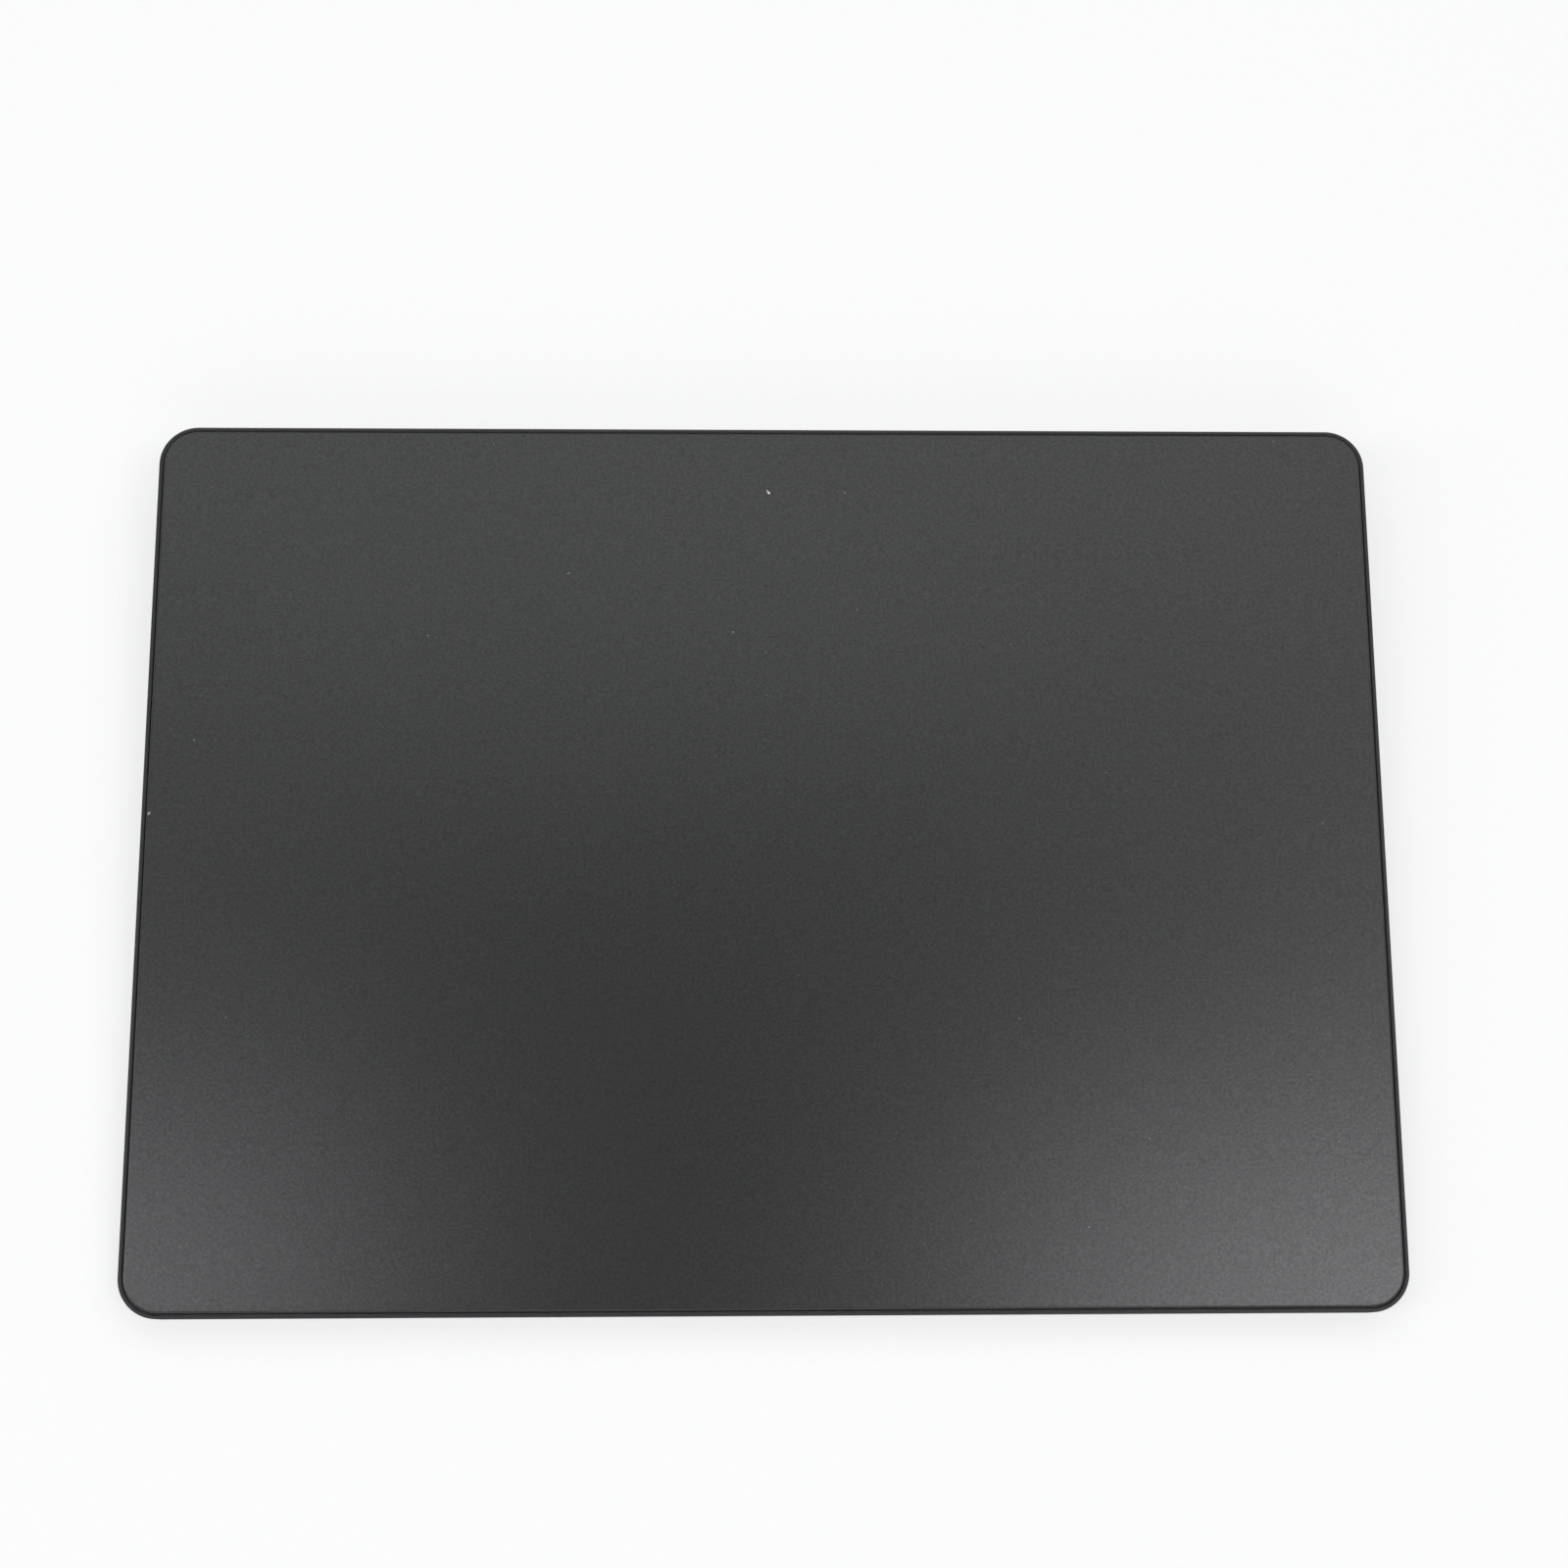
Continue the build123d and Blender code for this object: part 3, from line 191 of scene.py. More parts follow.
def parts(tree, vector):
    """The three parts of a vector."""
    return add(tree, "ShaderNodeSeparateXYZ", {0: vector})


def between(tree, share, first, second):
    """A number between two numbers."""
    return add(tree, "ShaderNodeMix", {0: share, 2: first, 3: second})[0]


def mixed(tree, share, first, second):
    """A colour between two colours."""
    return add(tree, "ShaderNodeMix", {0: share, 6: first, 7: second}, data_type="RGBA")[2]


def stepped(tree, value, low, high):
    """0 up to low, 1 from high, and a smooth rise between."""
    return add(
        tree, "ShaderNodeMapRange", {"Value": value, "From Min": low, "From Max": high},
        interpolation_type="SMOOTHSTEP",
    )[0]


def new_tree(kind, name, inputs, *outputs):
    """An empty tree with named sockets, and the nodes that stand for them.

    Each input is given by the value that it starts from, or by its type where it has none.
    """
    tree = bpy.data.node_groups.new(name, kind)
    for label, value in inputs.items():
        socket_type = VALUE_SOCKETS.get(type(value), value)
        socket = tree.interface.new_socket(label, in_out="INPUT", socket_type=socket_type)
        if socket_type != value:
            socket.default_value = value
    socket_type = GEOMETRY if kind == GEOMETRY_TREE else VALUE_SOCKETS[float]
    for label in outputs:
        tree.interface.new_socket(label, in_out="OUTPUT", socket_type=socket_type)
    given = tree.nodes.new("NodeGroupInput").outputs
    result = tree.nodes.new("NodeGroupOutput").inputs
    return tree, given, result


def blank_tree(owner):
    """The emptied node tree of a material or of the world."""
    owner.use_nodes = True
    owner.node_tree.nodes.clear()
    return owner.node_tree


def object_place(tree):
    """Place on the piece, in metres."""
    return add(tree, "ShaderNodeTexCoord")["Object"]


def noise(tree, place, size, detail=2.0):
    """Soft random values whose cells have a size in metres."""
    scale = maths(tree, "DIVIDE", 1.0, size)
    cells = add(tree, "ShaderNodeTexNoise", {"Vector": place, "Scale": scale, "Detail": detail})
    return cells[0]


def surface_grain():
    """Fine grain and slow drift, as on blasted metal, etched glass and moulded plastic."""
    sizes = {"Grain Size": 0.0002, "Drift Size": 0.02}
    tree, given, result = new_tree(SHADER_TREE, "Surface Grain", sizes, "Grain", "Drift")
    place = object_place(tree)
    tree.links.new(noise(tree, place, given["Grain Size"]), result["Grain"])
    tree.links.new(noise(tree, place, given["Drift Size"], 4.0), result["Drift"])


def drawn_lines():
    """Fine lines along one direction, as on rolled steel, laminations and wound wire."""
    tree, given, result = new_tree(
        SHADER_TREE, "Drawn Lines", {"Line Width": 0.0001, "Across": (0.0, 1.0, 1.0)}, "Lines"
    )
    place = vector_maths(tree, "MULTIPLY", object_place(tree), given["Across"])
    tree.links.new(noise(tree, place, given["Line Width"], 1.0), result["Lines"])


def settled_dust():
    """Sparse specks of dust on faces that look up or down."""
    tree, given, result = new_tree(
        SHADER_TREE, "Settled Dust", {"Spacing": 0.004, "Speck Size": 0.00007, "Share": 0.5}, "Dust"
    )
    place = object_place(tree)
    stir = noise(tree, place, given["Speck Size"])
    moved = add(tree, "ShaderNodeCombineXYZ", {0: stir, 1: stir, 2: stir})[0]
    stirred = vector_maths(tree, "ADD", place, scaled(tree, moved, given["Speck Size"]))
    scale = maths(tree, "DIVIDE", 1.0, given["Spacing"])
    cells = add(
        tree, "ShaderNodeTexVoronoi", {"Vector": stirred, "Scale": scale}, voronoi_dimensions="2D"
    )
    distance = maths(tree, "MULTIPLY", cells["Distance"], given["Spacing"])
    near = maths(tree, "LESS_THAN", distance, given["Speck Size"])
    chance = add(tree, "ShaderNodeSeparateColor", {0: cells["Color"]})[0]
    kept = maths(tree, "LESS_THAN", chance, given["Share"])
    upward = parts(tree, add(tree, "ShaderNodeNewGeometry")["Normal"])[2]
    level = maths(tree, "GREATER_THAN", maths(tree, "ABSOLUTE", upward), LEVEL_ENOUGH)
    settled = maths(tree, "MULTIPLY", maths(tree, "MULTIPLY", near, kept), level)
    tree.links.new(settled, result["Dust"])


def lone_fleck():
    """One oval fleck that lies at a place on a level or nearly level surface."""
    tree, given, result = new_tree(
        SHADER_TREE, "Lone Fleck",
        {"Centre": (0, 0, 0), "Turn": 0.0, "Length": 0.0005, "Width": 0.0002}, "Fleck",
    )
    from_centre = vector_maths(tree, "SUBTRACT", object_place(tree), given["Centre"])
    turned = add(
        tree, "ShaderNodeVectorRotate",
        {"Vector": from_centre, "Angle": maths(tree, "MULTIPLY", given["Turn"], -1.0)},
        rotation_type="Z_AXIS",
    )[0]
    axes = parts(tree, turned)
    along = maths(tree, "DIVIDE", axes[0], given["Length"])
    across = maths(tree, "DIVIDE", axes[1], given["Width"])
    body = stepped(tree, squares(tree, along, across), FLECK_CORE, FLECK_RIM)
    tree.links.new(maths(tree, "SUBTRACT", 1.0, body), result["Fleck"])


def routed_tracks():
    """Copper tracks that run one way or the other in each tile of a board."""
    tree, given, result = new_tree(
        SHADER_TREE, "Routed Tracks",
        {"Spacing": 0.0006, "Tile": 0.004, "Track Share": 0.4, "Turning": 0.5}, "Tracks",
    )
    place = object_place(tree)
    tiled = scaled(tree, place, maths(tree, "DIVIDE", 1.0, given["Tile"]))
    corner = parts(tree, vector_maths(tree, "FLOOR", tiled))
    flat = add(tree, "ShaderNodeCombineXYZ", {0: corner[0], 1: corner[1]})[0]
    chance = add(tree, "ShaderNodeTexWhiteNoise", {"Vector": flat})["Value"]
    turned = maths(tree, "LESS_THAN", chance, given["Turning"])
    axes = parts(tree, place)
    across = between(tree, turned, axes[0], axes[1])
    phase = maths(tree, "FRACT", maths(tree, "DIVIDE", across, given["Spacing"]))
    tree.links.new(maths(tree, "LESS_THAN", phase, given["Track Share"]), result["Tracks"])


def mouth_edge():
    """The cut edge round a slot-shaped mouth in the rear face."""
    tree, given, result = new_tree(
        SHADER_TREE, "Mouth Edge",
        {"Centre": (0, 0, 0), "Half Straight": 0.003, "Radius": 0.002, "Band": 0.0002}, "Edge",
    )
    axes = parts(tree, vector_maths(tree, "SUBTRACT", object_place(tree), given["Centre"]))
    aside = maths(tree, "ABSOLUTE", axes[0])
    beyond = maths(tree, "MAXIMUM", maths(tree, "SUBTRACT", aside, given["Half Straight"]), 0.0)
    reach = maths(tree, "SQRT", squares(tree, beyond, axes[2]))
    outside = maths(tree, "SUBTRACT", reach, given["Radius"])
    close = maths(tree, "LESS_THAN", outside, given["Band"])
    shallow = maths(tree, "GREATER_THAN", axes[1], maths(tree, "MULTIPLY", given["Band"], -1.0))
    tree.links.new(maths(tree, "MULTIPLY", close, shallow), result["Edge"])


def bare_inside():
    """The inner walls of a rounded tray, below its sloped rim."""
    tree, given, result = new_tree(
        SHADER_TREE, "Bare Inside",
        {
            "Half Width": 0.08, "Half Depth": 0.06, "Corner Radius": 0.005,
            "Wall": 0.0003, "Rim Height": 0.008, "Rim Slope": 0.0,
        },
        "Inside",
    )
    axes = parts(tree, object_place(tree))
    past = []
    for axis, half in enumerate(("Half Width", "Half Depth")):
        straight = maths(tree, "SUBTRACT", given[half], given["Corner Radius"])
        past.append(maths(tree, "SUBTRACT", maths(tree, "ABSOLUTE", axes[axis]), straight))
    corner = squares(tree, *[maths(tree, "MAXIMUM", length, 0.0) for length in past])
    flat_part = maths(tree, "MINIMUM", maths(tree, "MAXIMUM", *past), 0.0)
    reach = maths(tree, "ADD", maths(tree, "SQRT", corner), flat_part)
    outward = maths(tree, "SUBTRACT", reach, given["Corner Radius"])
    inner = maths(tree, "LESS_THAN", outward, maths(tree, "MULTIPLY", given["Wall"], -1.0))
    rim = maths(tree, "MULTIPLY_ADD", axes[1], given["Rim Slope"], given["Rim Height"])
    below = maths(tree, "LESS_THAN", axes[2], rim)
    tree.links.new(maths(tree, "MULTIPLY", inner, below), result["Inside"])


def effect(tree, name, sockets):
    """A shared effect placed in a material."""
    return add(tree, "ShaderNodeGroup", sockets, node_tree=bpy.data.node_groups[name])


TRACK_RISE = 0.6  # height of a copper track, where the grain's is 1
DUST_COVER = 0.35  # how strongly a speck of dust covers
DUST_DULLING = 0.4  # what dust adds to the roughness


def finish(name, colour, roughness, metallic=0.0, grain=0.0002, drift=0.02, fine=0.5, slow=0.3,
           spread=0.25, relief=0.000002, dulling=0.15, lines=None, line_width=0.0001, tracks=None,
           track_colour=None, dust=0.0, specular=0.5, sparkle=None, flecks=(), mouths=(),
           edge_colour=None, inside=None, inside_colour=None):
    """A Principled material whose colour, roughness, coat and relief vary with grain and lines.

    Fine and slow are the parts that grain and drift have in a colour between two that spread sets
    apart. Dulling is the grain's part in the roughness, sparkle its part in the coat, and relief its
    height in metres.
    """
    material = bpy.data.materials.new(name)
    tree = blank_tree(material)
    scatter = effect(tree, "Surface Grain", {"Grain Size": grain, "Drift Size": drift})
    texture = scatter["Grain"]
    if lines:
        texture = effect(tree, "Drawn Lines", {"Line Width": line_width, "Across": lines})["Lines"]
    fine_part = maths(tree, "MULTIPLY_ADD", texture, fine, (1 - fine - slow) / 2)
    share = maths(tree, "MULTIPLY_ADD", scatter["Drift"], slow, fine_part, clamp=True)
    base = mixed(tree, share, shaded(colour, 1 - spread), shaded(colour, 1 + spread))
    rough = maths(tree, "MULTIPLY_ADD", texture, dulling, roughness - dulling / 2)
    metal = metallic
    height = texture
    if tracks:
        path = effect(tree, "Routed Tracks", tracks)["Tracks"]
        base = mixed(tree, path, base, track_colour)
        height = maths(tree, "MULTIPLY_ADD", path, TRACK_RISE, texture)
    if inside:
        bare = effect(tree, "Bare Inside", inside)["Inside"]
        base = mixed(tree, bare, base, inside_colour)
        metal = maths(tree, "MULTIPLY_ADD", bare, -metallic, metallic)
    for mouth in mouths:
        edge = effect(tree, "Mouth Edge", mouth)["Edge"]
        base = mixed(tree, edge, base, edge_colour)
        rough = maths(tree, "MULTIPLY_ADD", edge, -roughness / 2, rough)
    if dust:
        settled = effect(tree, "Settled Dust", {"Share": dust})["Dust"]
        specks = maths(tree, "MULTIPLY", settled, DUST_COVER)
        for centre, turn, length, width, strength in flecks:
            shape = {"Centre": centre, "Turn": turn, "Length": length, "Width": width}
            fleck = effect(tree, "Lone Fleck", shape)["Fleck"]
            specks = maths(tree, "MULTIPLY_ADD", fleck, strength, specks, clamp=True)
        base = mixed(tree, specks, base, bpy.context.scene.trackpad_colours.dust)
        rough = maths(tree, "MULTIPLY_ADD", specks, DUST_DULLING, rough, clamp=True)
        if metallic:
            metal = maths(tree, "MULTIPLY_ADD", specks, -metallic, metal, clamp=True)
    bump = add(tree, "ShaderNodeBump", {"Strength": 1.0, "Distance": relief, "Height": height})
    look = {
        "Base Color": base, "Roughness": rough, "Metallic": metal, "Specular IOR Level": specular,
        "Normal": bump[0],
    }
    if sparkle:
        weight = maths(tree, "MULTIPLY_ADD", texture, sparkle, (1 - sparkle) / 2, clamp=True)
        look.update({"Coat Weight": weight, "Coat Roughness": roughness})
    surface = add(tree, "ShaderNodeBsdfPrincipled", look)
    add(tree, "ShaderNodeOutputMaterial", {"Surface": surface[0]})
    return material


# What each material slot of the record looks like

SHELL_HALF_HEIGHT = 0.00163  # of the port's shell
SHELL_GAP = 0.00012  # round the shell in the port's mouth
KNOB_WIDTH = 0.004
KNOB_GAP = 0.00015  # round the knob in the switch's slot
CUT_EDGE = 0.00017  # width of the bright edge round a mouth
CASE_CORNER = 0.005
BARE_DEPTH = 0.00027  # in from the case's outer face
BARE_HEIGHT = 0.00768  # up at the middle of the case, just under its rim

# Place, turn, length, width and strength of each fleck that lies on the glass
FLECKS = (
    ((0.00044, 0.04857, 0.01044), -0.80, 0.00047, 0.00035, 1.0),
    ((0.00026, 0.04880, 0.01045), -0.95, 0.0005, 0.0002, 0.7),
    ((-0.07897, 0.00547, 0.00819), 0.8, 0.0005, 0.0003, 0.6),
    ((-0.02589, 0.03745, 0.00986), 0.4, 0.00035, 0.0002, 0.3),
    ((-0.0043, 0.02953, 0.00944), 0.0, 0.0003, 0.0002, 0.25),
    ((0.01051, 0.0486, 0.01044), 1.1, 0.00035, 0.0002, 0.2),
    ((-0.07368, 0.01508, 0.00869), 2.0, 0.00045, 0.0002, 0.2),
)


def joint(name):
    """A joint of the record."""
    return next(entry for entry in frame["joints"] if entry["name"] == name)


def rear_mouths():
    """Values of the cut edge round the port's mouth and the switch's slot."""
    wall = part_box("enclosure")[1].y
    shell_low, shell_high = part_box("port_shell")
    cap_low, cap_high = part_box("switch_cap")
    mark_low, mark_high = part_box("switch_mark")
    travel = joint("power_slide")["range_m"][1]
    slot_radius = (mark_high.z - mark_low.z) / 2 + KNOB_GAP
    return [
        {
            "Centre": ((shell_low.x + shell_high.x) / 2, wall, shell_high.z - SHELL_HALF_HEIGHT),
            "Half Straight": (shell_high.x - shell_low.x) / 2 - SHELL_HALF_HEIGHT,
            "Radius": SHELL_HALF_HEIGHT + SHELL_GAP,
            "Band": CUT_EDGE,
        },
        {
            "Centre": ((cap_low.x + cap_high.x + travel) / 2, wall, (mark_low.z + mark_high.z) / 2),
            "Half Straight": (KNOB_WIDTH + travel) / 2 + KNOB_GAP - slot_radius,
            "Radius": slot_radius,
            "Band": CUT_EDGE,
        },
    ]


def case_inside():
    """Values of the bare walls inside the case, whose rim slopes as the glass does."""
    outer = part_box("enclosure")[1]
    press = joint("touch_press")["axis"]
    return {
        "Half Width": outer.x, "Half Depth": outer.y, "Corner Radius": CASE_CORNER,
        "Wall": BARE_DEPTH, "Rim Height": BARE_HEIGHT, "Rim Slope": -press[1] / press[2],
    }


def finishes():
    """Values of every finish, by the record's slot."""
    colours = bpy.context.scene.trackpad_colours
    sizes = bpy.context.scene.trackpad_sizes
    return {
        "glass": dict(
            colour=colours.glass, roughness=0.278, grain=sizes.glass_grain, drift=0.03, fine=0.1,
            slow=0.2, spread=0.55, relief=0.00002, dulling=0.01, dust=0.02, specular=0.26, sparkle=1.1,
            flecks=FLECKS,
        ),
        "case_aluminium": dict(
            colour=colours.metal, roughness=0.5, metallic=0.7, grain=sizes.metal_grain, fine=1.0,
            slow=0.2, spread=0.3, relief=0.000009, dust=0.05, mouths=rear_mouths(),
            edge_colour=display(104, 104, 106), inside=case_inside(), inside_colour=colours.inside,
        ),
        "cover_aluminium": dict(
            colour=colours.cover, roughness=0.55, metallic=0.6, grain=sizes.metal_grain, fine=1.0,
            spread=0.3, relief=0.000012, dust=0.2,
        ),
        "foot_rubber": dict(
            colour=colours.rubber, roughness=0.72, grain=0.00018, drift=0.004, fine=0.4, slow=0.5,
            spread=0.3, relief=0.00001, dust=0.3,
        ),
        "stop_rubber": dict(
            colour=colours.rubber, roughness=0.8, grain=0.00015, drift=0.002, fine=0.3, relief=0.00001,
        ),
        "adhesive": dict(
            colour=display(226, 224, 214), roughness=0.55, grain=0.0005, drift=0.006, fine=0.4,
            slow=0.5, spread=0.12, relief=0.000004,
        ),
        "foam": dict(
            colour=display(44, 44, 46), roughness=0.92, grain=0.00012, drift=0.002, fine=0.8, slow=0.2,
            spread=0.5, relief=0.00003,
        ),
        "circuit_board": dict(
            colour=colours.board, roughness=0.36, grain=0.0003, drift=0.01, fine=0.3, spread=0.2,
            relief=0.000012, tracks={"Spacing": 0.0006, "Tile": 0.0042, "Track Share": 0.42},
            track_colour=display(38, 66, 52),
        ),
        "spring_steel": dict(
            colour=display(176, 172, 164), roughness=0.3, metallic=1.0, lines=(1.0, 0.03, 1.0),
            spread=0.18,
        ),
        "plate_steel": dict(
            colour=display(168, 168, 170), roughness=0.36, metallic=1.0, lines=(0.03, 1.0, 1.0),
            line_width=0.00014, spread=0.18,
        ),
        "screw_steel": dict(
            colour=display(120, 120, 124), roughness=0.34, metallic=1.0, grain=0.00008, drift=0.0008,
            slow=0.4, relief=0.000003,
        ),
        "gel": dict(
            colour=display(150, 176, 190), roughness=0.22, grain=0.0004, drift=0.002, fine=0.3,
            slow=0.6, spread=0.15, relief=0.000008,
        ),
        "gauge_film": dict(
            colour=display(186, 132, 60), roughness=0.4, drift=0.002, fine=0.3, spread=0.15,
            relief=0.000006,
            tracks={"Spacing": 0.0003, "Tile": 1.0, "Track Share": 0.5, "Turning": 0.0},
            track_colour=display(150, 146, 138),
        ),
        "flex_film": dict(
            colour=colours.film, roughness=0.34, grain=0.0003, drift=0.004, fine=0.3, spread=0.18,
            relief=0.000006, tracks={"Spacing": 0.0005, "Tile": 0.02, "Track Share": 0.45},
            track_colour=display(198, 122, 52),
        ),
        "core_steel": dict(
            colour=display(132, 130, 128), roughness=0.44, metallic=1.0, lines=(0.02, 0.02, 1.0),
            line_width=0.0002, fine=0.8, slow=0.1, spread=0.35, relief=0.000012,
        ),
        "coil_copper": dict(
            colour=colours.copper, roughness=0.26, metallic=0.9, lines=(1.0, 0.1, 0.1),
            line_width=0.0002, spread=0.2, dulling=0.1,
        ),
        "chip_epoxy": dict(
            colour=display(32, 33, 35), roughness=0.5, grain=0.00008, drift=0.002, fine=0.6, spread=0.3,
            relief=0.000005,
        ),
        "shield_steel": dict(
            colour=display(186, 184, 178), roughness=0.24, metallic=1.0, lines=(0.04, 1.0, 1.0),
            fine=0.4, spread=0.15,
        ),
        "contact_gold": dict(
            colour=display(222, 176, 92), roughness=0.22, metallic=1.0, grain=0.00006, drift=0.001,
            spread=0.12, relief=0.000001,
        ),
        "ceramic": dict(
            colour=display(168, 132, 96), roughness=0.46, grain=0.00006, drift=0.0006, spread=0.2,
            relief=0.000003,
        ),
        "connector_plastic": dict(
            colour=display(40, 40, 42), roughness=0.48, grain=0.0001, drift=0.001, relief=0.000004,
        ),
        "battery_pouch": dict(
            colour=display(64, 66, 70), roughness=0.34, metallic=0.5, grain=0.0008, drift=0.008,
            fine=0.3, slow=0.6, relief=0.00004, dulling=0.2,
        ),
        "nickel": dict(
            colour=display(196, 190, 180), roughness=0.26, metallic=1.0, grain=0.0001, drift=0.001,
            spread=0.15,
        ),
        "carrier_plastic": dict(
            colour=display(50, 50, 52), roughness=0.55, grain=0.00012, drift=0.002, relief=0.000005,
        ),
        "switch_plastic": dict(
            colour=colours.plastic, roughness=0.44, grain=0.0001, drift=0.002, spread=0.2,
            relief=0.000003,
        ),
        "mark_green": dict(
            colour=colours.mark, roughness=0.5, grain=0.00012, drift=0.001, fine=0.4, slow=0.4,
            spread=0.12,
        ),
    }


def finish_of(slot):
    """The material of a slot of the record, made when it is first asked for."""
    name = slot + "_finish"
    if name not in bpy.data.materials:
        finish(name, **finishes()[slot])
    return bpy.data.materials[name]


def slot_of(node):
    """The record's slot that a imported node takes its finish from."""
    return frame["nodes"][node].material_slots[0].material.name.removesuffix("_finish")


def dress(*names):
    """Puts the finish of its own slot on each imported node."""
    for name in names:
        for place in frame["nodes"][name].material_slots:
            place.material = finish_of(slot_of(name))


# Repeated and bending pieces

MERGE_DISTANCE = 1e-7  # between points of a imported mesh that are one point
NECK_STEPS = 12  # cuts across a neck that bends
SHARP_ANGLE = math.radians(30)  # past which an edge of a bending piece stays sharp
WIRE_SIDES = 8
CORNER_STEPS = 4  # round each corner of a turn of wire
CORE_ARM_WIDTH = 0.004
COIL_RISE = 0.00035  # thickness of a coil over and under its arm


def merged(node):
    """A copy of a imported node's mesh, with its loose triangles joined."""
    mesh = bmesh.new()
    mesh.from_mesh(frame["nodes"][node].data)
    bmesh.ops.remove_doubles(mesh, verts=mesh.verts, dist=MERGE_DISTANCE)
    return mesh


def solid_boxes(name):
    """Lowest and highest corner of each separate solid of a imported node."""
    mesh = merged(name)
    waiting = set(mesh.verts)
    boxes = []
    while waiting:
        front = [waiting.pop()]
        points = []
        while front:
            vertex = front.pop()
            points.append(vertex.co.copy())
            for edge in vertex.link_edges:
                other = edge.other_vert(vertex)
                if other in waiting:
                    waiting.remove(other)
                    front.append(other)
        boxes.append((Vector(map(min, zip(*points))), Vector(map(max, zip(*points)))))
    mesh.free()
    return sorted(boxes, key=lambda box: tuple(round(value, 6) for value in box[0]))


def plain_object(name, vertices, edges=(), faces=()):
    """An object with a mesh from lists of points."""
    mesh = bpy.data.meshes.new(name)
    mesh.from_pydata([tuple(v) for v in vertices], list(edges), list(faces))
    made = bpy.data.objects.new(name, mesh)
    bpy.context.scene.collection.objects.link(made)
    return made


def object_of(name, shape):
    """An object whose mesh is a finished bmesh, which is freed."""
    made = plain_object(name, [])
    shape.to_mesh(made.data)
    shape.free()
    return made


def grown(name, slot, tree, values, points, edges=()):
    """An object with the plain mesh that a geometry tree makes from points, in a slot's finish."""
    piece = plain_object(name, points, edges)
    modifier = piece.modifiers.new("Tree", "NODES")
    modifier.node_group = tree
    values = {**values, "Finish": finish_of(slot)}
    for item in tree.interface.items_tree:
        if item.item_type == "SOCKET" and item.in_out == "INPUT" and item.name in values:
            modifier[item.identifier] = values[item.name]
    bpy.context.view_layer.update()
    depsgraph = bpy.context.evaluated_depsgraph_get()
    mesh = bpy.data.meshes.new_from_object(piece.evaluated_get(depsgraph), depsgraph=depsgraph)
    if not mesh.polygons:
        raise RuntimeError(f"{name} came out empty")
    piece.modifiers.clear()
    old = piece.data
    piece.data = mesh
    bpy.data.meshes.remove(old)
    mesh.name = name
    return piece


def settle(piece, slot, body, *nodes):
    """Declares a finished piece: its body and the nodes that it stands for. The slot is not used."""
    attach(piece, body)
    if nodes:
        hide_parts(*nodes)


def bend(piece, node):
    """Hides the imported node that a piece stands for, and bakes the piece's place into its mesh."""
    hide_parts(node)
    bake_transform(piece)


def bending_copy(name, node, side=0, stops=()):
    """A merged copy of a node, or of its solids on one side of the middle, cut across at each stop."""
    copy = merged(node)
    bmesh.ops.delete(copy, geom=[v for v in copy.verts if v.co.y * side < 0], context="VERTS")
    for stop in stops:
        bmesh.ops.bisect_plane(
            copy, geom=[*copy.verts, *copy.edges, *copy.faces],
            plane_co=(0, stop, 0), plane_no=(0, 1, 0),
        )
    made = object_of(name, copy)
    # Its own normals would stay as they were while the copy bends
    straight_normals = made.data.attributes.get("custom_normal")
    if straight_normals:
        made.data.attributes.remove(straight_normals)
    made.data.shade_smooth()
    made.data.set_sharp_from_angle(angle=SHARP_ANGLE)
    made.data.materials.append(finish_of(slot_of(node)))
    return made


def copies(tree, points, shape, **turn):
    """The same shape at each point, turned where a turn is given."""
    sockets = {"Points": points, "Instance": shape, **turn}
    return add(tree, "GeometryNodeInstanceOnPoints", sockets)[0]


def end_tree(tree, result, shape, coating, smooth=False):
    """Ends a geometry tree with its copies made real and their finish set."""
    shape = add(tree, "GeometryNodeRealizeInstances", {0: shape})[0]
    if smooth:
        shape = add(tree, "GeometryNodeSetShadeSmooth", {0: shape})[0]
    coated = add(tree, "GeometryNodeSetMaterial", {0: shape, "Material": coating})
    tree.links.new(coated[0], result[0])
    return tree


def winding_tree():
    """Turns of wire side by side round a rounded rectangle, at each point given."""
    tree, given, result = new_tree(
        GEOMETRY_TREE, "Coil Winding",
        {
            "Places": GEOMETRY, "Turns": 10, "Wire Diameter": 0.0002,
            "Across": 0.006, "Rise": 0.002, "Corner": 0.0004, "Finish": MATERIAL,
        },
        "Geometry",
    )
    diameter = given["Wire Diameter"]
    outline = {"Width": given["Rise"], "Height": given["Across"]}
    path = add(tree, "GeometryNodeCurvePrimitiveQuadrilateral", outline)
    rounded = add(
        tree, "GeometryNodeFilletCurve",
        {"Curve": path[0], "Radius": given["Corner"], "Count": CORNER_STEPS},
        mode="POLY",
    )
    radius = maths(tree, "DIVIDE", diameter, 2.0)
    wire = add(tree, "GeometryNodeCurvePrimitiveCircle", {"Resolution": WIRE_SIDES, "Radius": radius})
    swept = {"Curve": rounded[0], "Profile Curve": wire[0]}
    turn = add(tree, "GeometryNodeCurveToMesh", swept)[0]
    quarter_turn = Euler((0, math.pi / 2, 0))
    upright = add(tree, "GeometryNodeTransform", {"Geometry": turn, "Rotation": quarter_turn})
    gaps = maths(tree, "SUBTRACT", given["Turns"], 1.0)
    first = maths(tree, "MULTIPLY", maths(tree, "MULTIPLY", gaps, diameter), -0.5)
    row = add(
        tree, "GeometryNodeMeshLine",
        {
            "Count": given["Turns"],
            "Start Location": add(tree, "ShaderNodeCombineXYZ", {0: first})[0],
            "Offset": add(tree, "ShaderNodeCombineXYZ", {0: diameter})[0],
        },
        mode="OFFSET",
    )
    coil = copies(tree, row[0], upright[0])
    coils = copies(tree, given["Places"], coil)
    return end_tree(tree, result, coils, given["Finish"], smooth=True)


